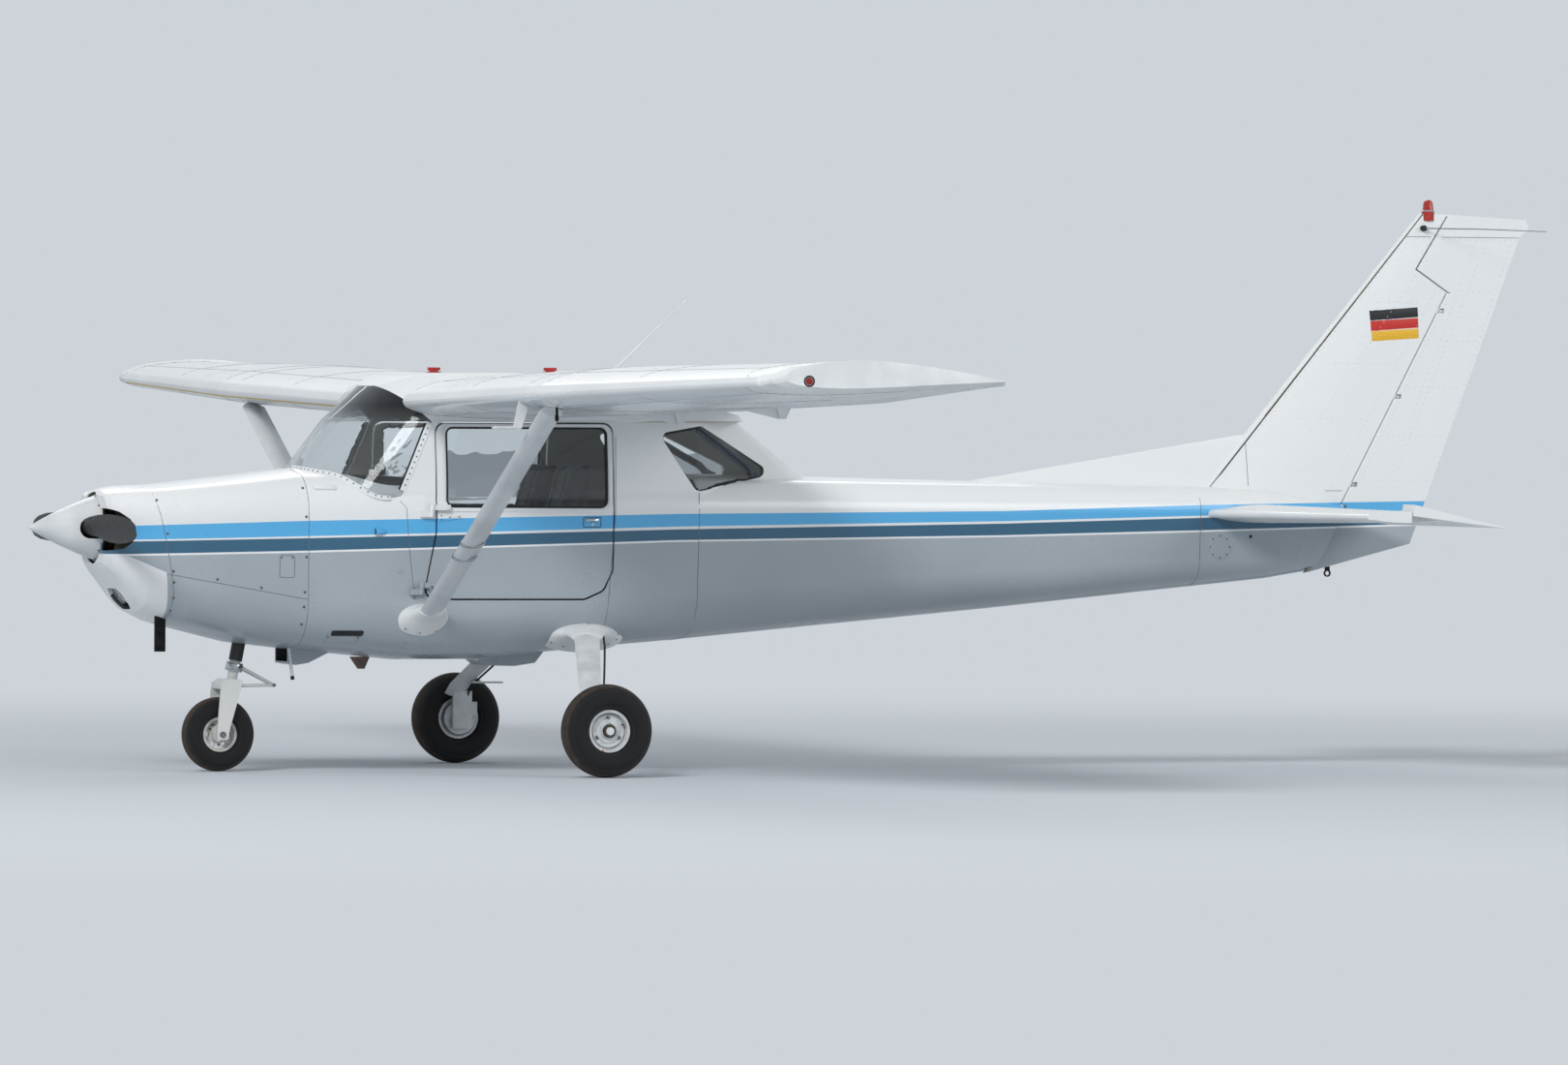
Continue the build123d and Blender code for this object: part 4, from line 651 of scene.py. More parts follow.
# sections of one lamp: distance out along its axis and radius, in millimetres
DISH = [(-43, 12), (-38, 24), (-28, 38), (-26, 41), (-28, 41), (-40, 26), (-45, 12), (-43, 12)]
BULB = [(-43, 6), (-34, 6), (-31, 2)]
LAMP_FACE = [(-25, 41), (-22, 41), (-18, 24), (-17, 6), (-20, 6), (-21, 24), (-25, 41)]
BEZEL = [(-24, 41.5), (-18, 42), (-17, 45), (-20, 48), (-26, 46.5), (-24, 41.5)]
dishes, lenses, bezels = [], [], []
for side in (-1, 1):
    middle = CHIN + Vector((0, side * 0.051, 0))
    dishes += [turned(DISH, middle, CHIN_OUT, 40), turned(BULB, middle, CHIN_OUT, 16)]
    lenses.append(turned(LAMP_FACE, middle, CHIN_OUT, 40))
    bezels.append(turned(BEZEL, middle, CHIN_OUT, 40))
piece("landing_lamp_reflectors", dishes, mirror, "airframe")
piece("landing_lamp_lenses", lenses, lamp_glass, "airframe")
piece("landing_lamp_bezels", bezels, bright_metal, "airframe")


# Cowl and side fittings: the oil door, the vents and scoops that feed the cabin, a round access plug
# and the blade aerial under the belly; sheet and moulded pieces, screwed on.
OIL_DOOR = (1063, 1131, 894, 994)
SLOT_DOOR = (1302, 1447, 599, 643)
DOOR_SCREWS = [(1072, 985), (1122, 985), (1310, 622), (1440, 622), (1234, 1297), (1324, 1297)]
VENT = (1227, 1331, 1291, 1310)
SLOT_MOUTH_SHADE = (1318, 1462, 628, 652)
SCOOP_STATIONS = (-27, -20, 0, 18, 30)


def rounded(corners, radius, parts=5):
    """A closed outline with its corners rounded off, in millimetres."""
    result = []
    count = len(corners)
    for i, spot in enumerate(corners):
        spot = Vector(spot)
        back = Vector(corners[i - 1]) - spot
        fore = Vector(corners[(i + 1) % count]) - spot
        half = back.angle(fore) / 2
        cut = min(radius / math.tan(half), back.length / 2, fore.length / 2)
        start, end = spot + back.normalized() * cut, spot + fore.normalized() * cut
        for k in range(parts + 1):
            t = k / parts
            result.append(start * (1 - t) ** 2 + spot * 2 * t * (1 - t) + end * t * t)
    return result


def side_loop(skin, outline, side, step, lift=0.0):
    """Feet on a skin along a closed outline drawn in side view."""
    points = beside(outline, side)
    return laid(skin, points + points[:1], inward(side), step, lift)[:-1]


def plate(feet, thick, sink=0.001):
    """A thin plate whose outline lies on a skin."""
    count = len(feet)
    points = [foot - normal * sink for foot, normal in feet]
    points += [foot + normal * thick * 0.6 for foot, normal in feet]
    centre = sum((foot for foot, _ in feet), Vector()) / count
    points += [foot + normal * thick + (centre - foot).normalized() * thick * 0.6 for foot, normal in feet]
    faces = [tuple(reversed(range(count))), tuple(range(2 * count, 3 * count))]
    for ring in (0, count):
        faces += [(ring + i, ring + (i + 1) % count, ring + count + (i + 1) % count, ring + count + i)
                  for i in range(count)]
    return points, faces


def box_outline(x0, x1, z0, z1, radius=6):
    """A rounded box in side view, between two stations and two heights."""
    return rounded([(x0, z0), (x1, z0), (x1, z1), (x0, z1)], radius)


trim = [seam(fuselage, beside(box_outline(*OIL_DOOR, 8), -1), inward(-1), 0.02, True),
        seam(fuselage, beside(box_outline(*SLOT_DOOR), -1), inward(-1), 0.02, True)]
piece("cowl_door_shadow_lines", trim, joint_shadow, "airframe")
fasteners = feet_at(fuselage, beside(DOOR_SCREWS, -1), inward(-1))
piece("cowl_door_screws", screws(fasteners, 0.0045), plated_screw, "airframe")
vents = [plate(side_loop(fuselage, box_outline(*VENT), side, 0.02), 0.011) for side in (-1, 1)]
vents += [plate(side_loop(fuselage, box_outline(*SLOT_DOOR), -1, 0.02), 0.0016)]
piece("cowl_vents", vents, skin_paint, "airframe")
scoops, mouth_shades = [], []
for side in (-1, 1):
    spot = lay(fuselage, at(1524, side * CLEAR_OUT, 1103), inward(side))[0]
    scoops.append(bar([spot + AFT * x / 1000 for x in SCOOP_STATIONS], [19, 20, 18, 11, 3], 20))
    # a black rubber disc closes each scoop's mouth: painted shade for the dark inside of the opening
    mouth_shades.append(turned([(-27.6, 15), (-28.4, 14), (-26, 4)], spot, AFT, 20))
piece("air_scoops", scoops, skin_paint, "airframe")
black_trim = mottled("black_nitrile_rubber", "#151617", "#222324", 30, 1.5, 0.15, [("Roughness", 0.66)])
# a black plate along the vent slot is painted shade in the slot's mouth
mouth_shades.append(plate(side_loop(fuselage, box_outline(*SLOT_MOUTH_SHADE, 8), -1, 0.02), 0.0025))
piece("vent_mouths", mouth_shades, black_trim, "airframe")
spot, normal = lay(fuselage, at(1610, -CLEAR_OUT, 933), inward(-1))
piece("access_plug", [turned([(-1, 20), (2, 19), (3, 16), (2.4, 6)], spot, normal, 28)], skin_paint,
      "airframe")


def fin_blade(top, bottom, half):
    """A streamlined blade between two chords, thickest in the middle of its chord."""
    section = [(0, 0), (0.15, 0.7), (0.4, 1), (0.75, 0.6), (1, 0), (0.75, -0.6), (0.4, -1), (0.15, -0.7)]
    points = []
    for (front, back), thick in ((top, half), (bottom, half * 0.6)):
        side = Vector((0, thick / 1000, 0))
        points += [front + (back - front) * share + side * out for share, out in section]
    faces = [(k, (k + 1) % 8, (k + 1) % 8 + 8, k + 8) for k in range(8)]
    return points, faces + [tuple(range(8, 16)), tuple(reversed(range(8)))]


brown_resin = mottled("moulded_brown_resin", "#5B4A42", "#6E5A50", 20, 1.5, 0.1, [("Roughness", 0.45)])
blade = fin_blade((at(1526, 0, 524), at(1625, 0, 524)), (at(1566, 0, 468), at(1600, 0, 468)), 8)
piece("belly_blade_aerial", [blade], brown_resin, "airframe", 60)


# Windows: formed clear acrylic. The screen's top has a smoked band against the sun. Each pane lies in
# black rubber, and the screen is held at its edges by painted strips with screws.
def acrylic(name, smoked):
    """Clear acrylic, or with a smoked band towards the top."""
    made, tree = blank(name)
    place = node(tree, "ShaderNodeTexCoord")
    height = node(tree, "ShaderNodeSeparateXYZ", [], [(0, place, "Object")])
    band = node(tree, "ShaderNodeMapRange", [(1, 1.60), (2, 1.68)], [(0, height, "Z")])
    tint = node(tree, "ShaderNodeMix", [("data_type", "RGBA"), (6, srgb("#F1F5F6")), (7, srgb(smoked))], [
        (0, band, 0)])
    wave = node(tree, "ShaderNodeTexNoise", [("Scale", 9.0), ("Detail", 1.0)], [("Vector", place, "Object")])
    soft_wave = node(tree, "ShaderNodeBump", [("Strength", 0.04), ("Distance", 0.01)], [("Height", wave, 0)])
    sheet = node(tree, "ShaderNodeBsdfPrincipled", [
        ("Transmission Weight", 1.0), ("IOR", 1.49), ("Roughness", 0.0)], [
        ("Base Color", tint, 2), ("Normal", soft_wave, 0)])
    node(tree, "ShaderNodeOutputMaterial", [], [("Surface", sheet, 0)])
    return made


dress(["windscreen"], acrylic("clear_acrylic_smoked_top", "#26374F"))
dress(["door_glass_left", "door_glass_right", "rear_windows"], acrylic("clear_acrylic", "#E3EAEE"))
screen_surround = skin_of(["windscreen", "cabin_deck", "cabin_roof", "cabin_side_left", "cabin_side_right"])
# The screen's foot is its lowest point in each 4 degrees round an upright axis behind it
FOOT_AXIS = at(1650, 0, 0)
FOOT_STEP = 4
FOOT_STEPS_EACH_WAY = 21
lowest = {}
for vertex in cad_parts["windscreen"].data.vertices:
    spread = vertex.co - FOOT_AXIS
    key = round(math.degrees(math.atan2(spread.y, -spread.x)) / FOOT_STEP)
    if abs(key) <= FOOT_STEPS_EACH_WAY and (key not in lowest or vertex.co.z < lowest[key].z):
        lowest[key] = vertex.co.copy()
foot_line = [lowest[key] for key in sorted(lowest)]
feet = []
for i, spot in enumerate(foot_line):
    near = [foot_line[k] for k in (i - 1, i, i + 1) if 0 <= k < len(foot_line)]
    spread = spot - FOOT_AXIS
    normal = Vector((spread.x * 0.9, spread.y * 1.1, 0.45)).normalized()
    feet.append((sum(near, Vector()) / len(near) + normal * 0.003, normal))
piece("screen_foot_strip", [strip(feet, 0.030, 0.004)], skin_paint, "airframe")
piece("screen_foot_screws", screws([(f + n * 0.004, n) for f, n in feet[1:-1]], 0.0045), plated_screw,
      "airframe")
POST_LINE = [(1624, 1290), (1690, 1446), (1754, 1600)]
RUBBER_LINE = [(1607, 1296), (1673, 1450), (1735, 1598)]
posts, post_screws, rubbers = [], [], []
for side in (-1, 1):
    line = laid(screen_surround, beside(POST_LINE, side), inward(side), 0.03)
    posts.append(strip(line, 0.030, 0.0024))
    post_screws += screws([(f + n * 0.0024, n) for f, n in line[1:-1]], 0.0042)
    edge_line = laid(screen_surround, beside(RUBBER_LINE, side), inward(side), 0.03)
    rubbers.append(strip(edge_line, 0.008, 0.0018))
piece("screen_post_strips", posts, skin_paint, "airframe")
piece("screen_post_screws", post_screws, plated_screw, "airframe")
piece("screen_rubber", rubbers, black_trim, "airframe")


# Rear quarter windows: black rubber round each pane, with a wide black lap at the lower and rear edge.
QUARTER = [(2856, 1556), (3036, 1292), (3480, 1372), (3070, 1592)]
panes = skin_of(["rear_windows"])


def pane_feet(outline, side, closed=True):
    """Feet on the outer face of a rear pane along an outline in side view."""
    points = beside(outline, side, 520)
    result = []
    for spot in along(points + points[:1] if closed else points, 0.03):
        near, normal, _, _ = panes.find_nearest(spot)
        if normal.y * side < 0:
            normal = -normal
        result.append((near, Vector((normal.x * 0.3, normal.y, normal.z)).normalized()))
    return result[:-1] if closed else result


seals, laps = [], []
for side in (-1, 1):
    seals.append(strip(pane_feet(rounded(QUARTER, 34, 6), side), 0.016, 0.004, True))
    seals.append(strip(pane_feet([(3030, 1288), (3490, 1370)], side, False), 0.024, 0.003))
    laps.append(strip(pane_feet([(3078, 1584), (3300, 1468), (3484, 1374)], side, False), 0.034, 0.003))
piece("quarter_window_laps", laps, mottled("blue_grey_sealant", "#3E4A5E", "#2F394B", 60, 1.5, 0.05, [
    ("Roughness", 0.35)]), "airframe")
piece("quarter_window_rubbers", seals, black_trim, "airframe")


# Doors: pressed aluminium with a framed window that opens, black rubber in the frame, two strap
# hinges screwed to door and post, and a flush handle with a lock below.
FRAME_LINE = [(1813, 1203), (2611, 1201), (2611, 1590), (1813, 1590)]
SEAL_LINE = [(1829, 1219), (2595, 1217), (2595, 1580), (1829, 1580)]
UPPER_STRAP = [(1788, 1150), (1812, 1152), (1902, 1166), (1902, 1178), (1812, 1186), (1788, 1190)]
LOWER_STRAP = [(1740, 826), (1800, 832), (1800, 850), (1744, 862)]
STRAP_SCREWS = [(1800, 1160), (1800, 1178), (1840, 1170), (1885, 1172), (1755, 836), (1757, 852), (1790, 842)]
HANDLE_WELL = (2479, 2563, 1127, 1172)
HANDLE = (2490, 2553, 1152, 1166)
LOCK = (2522, 1139)
DOOR_ROWS = [[(1850, 812), (2484, 812)], [(1790, 1110), (2600, 1110)], [(2612, 930), (2612, 1560)]]
# The dark line round the handle's well is painted shade at the edge of the recess.
handle_well_shade = mottled("painted_shade_in_handle_well", "#2A2C2E", "#1E2021", 12, 1, 0.05, [("Roughness", 0.42)])
for side, word in ((-1, "left"), (1, "right")):
    body = "door_" + word
    slot_skin = skin_of([body, "door_glass_" + word])
    rim = strip(side_loop(slot_skin, rounded(FRAME_LINE, 50, 8), side, 0.03), 0.015, 0.004, True)
    piece("window_frame_" + word, [rim], plain_paint, body)
    seal = strip(side_loop(slot_skin, rounded(SEAL_LINE, 38, 8), side, 0.03), 0.013, 0.0075, True)
    piece("window_rubber_" + word, [seal], black_trim, body)
    straps = [plate(side_loop(slot_skin, rounded(outline, 8), side, 0.02), 0.003)
              for outline in (UPPER_STRAP, LOWER_STRAP)]
    piece("door_hinge_straps_" + word, straps, skin_paint, body)
    heads = screws(feet_at(slot_skin, beside(STRAP_SCREWS, side), inward(side), 0.003), 0.004)
    piece("door_hinge_screws_" + word, heads, plated_screw, body)
    well = strip(side_loop(slot_skin, box_outline(*HANDLE_WELL, 7), side, 0.02), 0.0035, 0.0012, True)
    piece("handle_well_line_" + word, [well], handle_well_shade, body)
    lever = plate(side_loop(slot_skin, box_outline(*HANDLE), side, 0.02), 0.009)
    spot, normal = lay(slot_skin, beside([LOCK], side)[0], inward(side))
    lock = turned([(-1, 7), (3, 7), (4, 5), (3.4, 2)], spot, normal, 20)
    piece("door_handle_" + word, [lever, lock], bright_metal, body)
    rows = []
    for run in DOOR_ROWS:
        rows += laid(slot_skin, beside(run, side), inward(side), 0.032)
    piece("door_rivets_" + word, rivets(rows), skin_paint, body, 60)


# Cabin: the instrument panel is sheet aluminium in black crackle paint with glazed dials, radios and
# knobs; a padded black cover on top stops reflections in the screen. The yokes are moulded black.
crackle = mottled("black_crackle_paint", "#1B1C1D", "#242526", 50, 1.6, 0.35, [("Roughness", 0.6)])
dress(["instrument_panel"], crackle)
yoke_plastic = mottled("moulded_black_plastic", "#18191A", "#222325", 30, 1.4, 0.08, [("Roughness", 0.45)])
dress(["control_yokes"], yoke_plastic)
frame_paint = mottled("dark_grey_sprayed_steel", "#3A3D40", "#2F3235", 60, 1.5, 0.08, [("Roughness", 0.48)])
dress(["seat_frames", "rudder_pedals"], frame_paint)
bulkhead_paint = mottled("grey_painted_bulkhead", GREY, "#989FA4", 90, 2, 0.1, [("Roughness", 0.5)])
dress(["rear_bulkhead"], bulkhead_paint)
dial_white = mottled("printed_white_marks", "#DADCDC", "#CFD1D1", 20, 1, 0.02, [("Roughness", 0.5)])
knob_red = mottled("moulded_red_plastic", "#B02722", "#98201C", 15, 1, 0.03, [("Roughness", 0.35)])
PANEL_FACE = 1655
DIALS = [
    # distance to starboard, height, radius, in millimetres
    (-355, 1262, 40), (-262, 1262, 40), (-169, 1262, 40), (-355, 1166, 40), (-262, 1166, 40),
    (-169, 1166, 40), (-425, 1214, 28), (-80, 1276, 28), (-80, 1214, 28), (-80, 1150, 28),
    (330, 1240, 40), (330, 1140, 28), (410, 1240, 28),
]
RADIO_FEET = (1268, 1218, 1168, 1118)
KNOB_HEIGHTS = (1290, 1240, 1190, 1140)


def block(low, high, bevel=2.0):
    """A box between two corners in millimetres, with its edges taken off."""
    points, faces = [], []
    for x, shrink in ((low[0], bevel), (low[0] + bevel, 0), (high[0] - bevel, 0), (high[0], bevel)):
        for y, z in ((0, 0), (1, 0), (1, 1), (0, 1)):
            side = (low[1] + shrink, high[1] - shrink)[y]
            tall = (low[2] + shrink, high[2] - shrink)[z]
            points.append(at(x, side, tall))
    for ring in (0, 4, 8):
        faces += [(ring + k, ring + (k + 1) % 4, ring + (k + 1) % 4 + 4, ring + k + 4) for k in range(4)]
    return points, faces + [(3, 2, 1, 0), (12, 13, 14, 15)]


bezels, faces_of_dials, marks = [], [], []
mark_faces = [(3, 2, 1, 0), (4, 5, 6, 7)] + [(j, (j + 1) % 4, (j + 1) % 4 + 4, j + 4) for j in range(4)]
for y, z, radius in DIALS:
    spot = at(PANEL_FACE, y, z)
    rim = [(0.3, radius + 4), (4, radius + 3), (5, radius), (2, radius - 2), (0.3, radius - 2)]
    bezels.append(turned(rim + rim[:1], spot, AFT, 32))
    faces_of_dials.append(turned([(0.4, radius - 2), (1.4, radius - 2.2)], spot, AFT, 32))
    for k in range(12):
        angle = math.pi * k / 6
        arm = Vector((0, math.sin(angle), math.cos(angle)))
        across = arm.cross(AFT) * 0.0008
        near = spot + AFT * 0.0015 + arm * (radius - 10) / 1000
        far = spot + AFT * 0.0015 + arm * (radius - 4) / 1000
        points = [near - across, near + across, far + across, far - across]
        marks.append((points + [p + AFT * 0.0004 for p in points], mark_faces))
    # each needle stands at its own angle
    angle = math.radians(40 + 23 * (y % 13))
    tip = spot + AFT * 0.002 + Vector((0, math.sin(angle), math.cos(angle))) * (radius - 8) / 1000
    marks.append(bar([spot + AFT * 0.002, tip], [1.4, 0.5], 6))
piece("dial_bezels", bezels, yoke_plastic, "airframe")
piece("dial_faces", faces_of_dials, crackle, "airframe")
piece("dial_marks", marks, dial_white, "airframe")
radios = [block((PANEL_FACE + 0.3, 20, z), (PANEL_FACE + 14, 180, z + 44), 3) for z in RADIO_FEET]
radios += [block((PANEL_FACE + 0.3, y, 1038), (PANEL_FACE + 12, y + 22, 1058)) for y in range(-400, -120, 34)]
piece("radios_and_switches", radios, yoke_plastic, "airframe")
knobs = [turned([(14, 8), (26, 7.4), (27, 5)], at(PANEL_FACE, y, z), AFT, 16)
         for z in KNOB_HEIGHTS for y in (34, 166)]
knobs.append(turned([(0.3, 5), (48, 5), (49, 16), (66, 17), (68, 12)], at(PANEL_FACE, -10, 1070), AFT, 20))
piece("panel_knobs", knobs, yoke_plastic, "airframe")
mixture = turned([(0.3, 4), (40, 4), (41, 13), (56, 14), (58, 9)], at(PANEL_FACE, 62, 1070), AFT, 20)
piece("mixture_knob", [mixture], knob_red, "airframe")
GLARE_SHIELD = [
    # station, height, half width
    (1640, 1338, 400), (1676, 1326, 420), (1690, 1330, 425),
    (1692, 1340, 425), (1672, 1350, 415), (1600, 1356, 395),
]
points = [at(x, side * half, z) for x, z, half in GLARE_SHIELD for side in (-1, 1)]
count = len(GLARE_SHIELD)
faces = [(2 * k, 2 * k + 1, (2 * k + 3) % (2 * count), (2 * k + 2) % (2 * count)) for k in range(count)]
faces += [tuple(range(0, 2 * count, 2)), tuple(reversed(range(1, 2 * count, 2)))]
vinyl = mottled("black_grained_vinyl", "#191A1B", "#212223", 40, 2.2, 0.4, [("Roughness", 0.58)])
piece("glare_shield", [(points, faces)], vinyl, "airframe", 50)
piece("compass", [block((1640, -30, 1356), (1690, 30, 1404), 8)], yoke_plastic, "airframe")
piece("compass_face", [turned([(50, 20), (51.5, 19)], at(1640, 0, 1380), AFT, 24)], dial_white, "airframe")


# Seats: foam cushions in grey woven cloth on a painted frame, sewn into channels. Each is puffed by a
# cloth run inside its cover, and the channels are pulled in afterwards. A webbing belt lies across.
seat_cloth, tree = blank("woven_grey_seat_cloth")
place = node(tree, "ShaderNodeTexCoord")
# threads are drawn 3 mm apart, twice as coarse as real, to show in the render
warp = node(tree, "ShaderNodeTexWave", [("Scale", 52.0), ("bands_direction", "Y")], [
    ("Vector", place, "Object")])
weft = node(tree, "ShaderNodeTexWave", [("Scale", 52.0), ("bands_direction", "DIAGONAL")], [
    ("Vector", place, "Object")])
weave = node(tree, "ShaderNodeMath", [("operation", "MULTIPLY")], [(0, warp, 1), (1, weft, 1)])
fade = node(tree, "ShaderNodeTexNoise", [("Scale", 7.0), ("Detail", 3.0)], [("Vector", place, "Object")])
tone = node(tree, "ShaderNodeMath", [("operation", "MULTIPLY_ADD"), (1, 0.6)], [(0, weave, 0), (2, fade, 0)])
colour = node(tree, "ShaderNodeMix", [("data_type", "RGBA"), (6, srgb("#2B2E33")), (7, srgb("#4A4E55"))], [
    (0, tone, 0)])
relief = node(tree, "ShaderNodeBump", [("Strength", 0.6), ("Distance", 0.0008)], [("Height", weave, 0)])
cloth = node(tree, "ShaderNodeBsdfPrincipled", [
    ("Roughness", 0.88), ("Sheen Weight", 0.35), ("Sheen Roughness", 0.5)], [
    ("Base Color", colour, 2), ("Normal", relief, 0)])
node(tree, "ShaderNodeOutputMaterial", [], [("Surface", cloth, 0)])
PUFF_LIMIT = 0.022
PUFF_FRAMES = 20
# seams: two channels along the seat and one across each half, with depth and half width
CHANNELS = (-66, 66)
CHANNEL_DEEP, CHANNEL_HALF = 0.009, 9
CROSS_AT = 0.12
CROSS_DEEP, CROSS_HALF = 0.006, 0.009
VOXEL = 0.009
SEAT_OUT = 245
CUSHION_HALF = 178
BELT_LINE = [(2330, -176), (2290, 0), (2330, 176)]


def cushion(name, corners, middle, square, up):
    """A foam cushion: a thick slab of a side outline, puffed by cloth, then drawn in along its seams."""
    outline = rounded(corners, 26, 4)
    count = len(outline)
    points = [at(p.x, side * CUSHION_HALF, p.y) for side in (-1, 1) for p in outline]
    faces = [(k, (k + 1) % count, (k + 1) % count + count, k + count) for k in range(count)]
    faces += [tuple(reversed(range(count))), tuple(range(count, 2 * count))]
    mesh = bpy.data.meshes.new(name)
    mesh.from_pydata(points, [], faces)
    made = bpy.data.objects.new(name, mesh)
    bpy.context.collection.objects.link(made)
    remesh = made.modifiers.new("remesh", "REMESH")
    remesh.mode = "VOXEL"
    remesh.voxel_size = VOXEL
    bpy.context.view_layer.update()
    source = bpy.data.meshes.new_from_object(made.evaluated_get(bpy.context.evaluated_depsgraph_get()))
    made.modifiers.clear()
    made.data = source
    start = [v.co.copy() for v in source.vertices]
    puff = made.modifiers.new("puff", "CLOTH")
    puff.settings.use_pressure = True
    puff.settings.uniform_pressure_force = 4.0
    puff.settings.effector_weights.gravity = 0.0
    puff.point_cache.frame_start = 1
    puff.point_cache.frame_end = PUFF_FRAMES
    for number in range(1, PUFF_FRAMES + 1):
        bpy.context.scene.frame_set(number)
    done = bpy.data.meshes.new_from_object(made.evaluated_get(bpy.context.evaluated_depsgraph_get()))
    made.modifiers.clear()
    bpy.context.scene.frame_set(1)
    made.data = done
    for vertex, old in zip(done.vertices, start):
        shift = vertex.co - old
        if shift.length > PUFF_LIMIT:
            shift = shift.normalized() * PUFF_LIMIT
        vertex.co = old + shift
    for vertex in made.data.vertices:
        if (vertex.co - middle).dot(up) > 0:
            near = min(abs(vertex.co.y * 1000 - c) for c in CHANNELS)
            vertex.co -= up * (CHANNEL_DEEP * math.exp(-(near / CHANNEL_HALF) ** 2))
            cross = abs((vertex.co - middle).dot(square))
            vertex.co -= up * (CROSS_DEEP * math.exp(-((cross - CROSS_AT) / CROSS_HALF) ** 2))
    return made.data


base_mesh = cushion("seat_base", [(1992, 812), (2420, 812), (2420, 892), (1992, 892)], at(2206, 0, 850),
                    AFT, Vector((0, 0, 1)))
lean = Vector((0.2286, 0, 0.9735))
back_mesh = cushion("seat_back", [(2362, 916), (2432, 916), (2566, 1428), (2508, 1428)], at(2466, 0, 1172),
                    lean, Vector((-lean.z, 0, lean.x)))
belt_web = mottled("woven_nylon_webbing", "#5B6068", "#4C5058", 12, 1.6, 0.3, [("Roughness", 0.7)])
for side, word in ((-1, "left"), (1, "right")):
    for kind, source in (("base", base_mesh), ("back", back_mesh)):
        points = [v.co + Vector((0, side * SEAT_OUT / 1000, 0)) for v in source.vertices]
        faces = [tuple(p.vertices) for p in source.polygons]
        made = piece("seat_cushion_" + kind + "_" + word, [(points, faces)], seat_cloth, "airframe",
                     180)
        smooth = made.modifiers.new("smooth", "SUBSURF")
        smooth.levels = 1
        smooth.render_levels = 1
        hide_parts("seat_" + word)
        if kind == "base":
            pad = BVHTree.FromPolygons(points, faces)
    seat_y = side * SEAT_OUT
    feet = laid(pad, [at(x, seat_y + y, 950) for x, y in BELT_LINE], Vector((0, 0, -1)), 0.02)
    piece("lap_belt_" + word, [strip(feet, 0.046, 0.0025)], belt_web, "airframe")
    z = lay(pad, at(2290, seat_y, 950), Vector((0, 0, -1)))[0].z * 1000
    buckle = block((2262, seat_y - 34, z + 2), (2318, seat_y + 34, z + 16), 4)
    piece("belt_buckle_" + word, [buckle], bright_metal, "airframe")
for name in ("seat_base", "seat_back"):
    bpy.data.objects.remove(bpy.data.objects[name])


# Wings: riveted aluminium skins over ribs and spars, sprayed gloss white, with moulded plastic tips.
# Flaps and ailerons have skins of their own with pressed beads. The fuel caps are painted red.
dress(["wing_left", "wing_right", "flap_left", "flap_right", "aileron_left", "aileron_right",
       "stabiliser", "elevator"], plain_paint)
dress(["wing_tip_left", "wing_tip_right", "leg_sleeves", "strut_cuffs"], white_plastic)
cap_paint = mottled("red_enamel_paint", "#B3241E", "#9A1E1A", 40, 1.5, 0.05, [
    ("Roughness", 0.32), ("Coat Weight", 0.4)])
dress(["fuel_caps"], cap_paint)
# distances from the middle in millimetres, and shares of the chord
RIBS = [560, 850, 1140, 1430, 1720, 2010, 2300, 2560, 2900, 3260, 3620, 3980, 4340, 4660, 4835]
SEAM_RIBS = [560, 1430, 2300, 2560, 3620, 4835]
COVER_SPOTS = [1000, 1700, 2420, 3100, 3800, 4420]
TIP_JOINT = 4856
TAPER_START = 2550
TAPER_LONG = 2300
ROOT_FRONT, ROOT_CHORD = 1624, 1626
TIP_SWEEP, TIP_LESS = 182, 496
STRINGERS = (0.055, 0.10, 0.27, 0.31, 0.50, 0.655)
TIP_SCREWS = (0.02, 0.1, 0.3, 0.5, 0.7, 0.9, 0.97)
BEADS_EACH = 14


def chord_at(side_mm):
    """The wing's leading edge and chord at a distance from the middle, in millimetres."""
    share = max(0.0, (side_mm - TAPER_START) / TAPER_LONG)
    return ROOT_FRONT + share * TIP_SWEEP, ROOT_CHORD - share * TIP_LESS


def wing_spot(side, out, share):
    """A point at wing height, at a distance out and a share of the chord there."""
    front, chord = chord_at(out)
    return at(front + share * chord, side * out, 1750)


def spanwise(side, first, last, share):
    """A run along the wing at one share of the chord."""
    return [wing_spot(side, first, share), wing_spot(side, last, share)]


def chordwise(side, out, fore, rear):
    """A run across the wing between two shares of the chord."""
    return [wing_spot(side, out, fore), wing_spot(side, out, rear)]


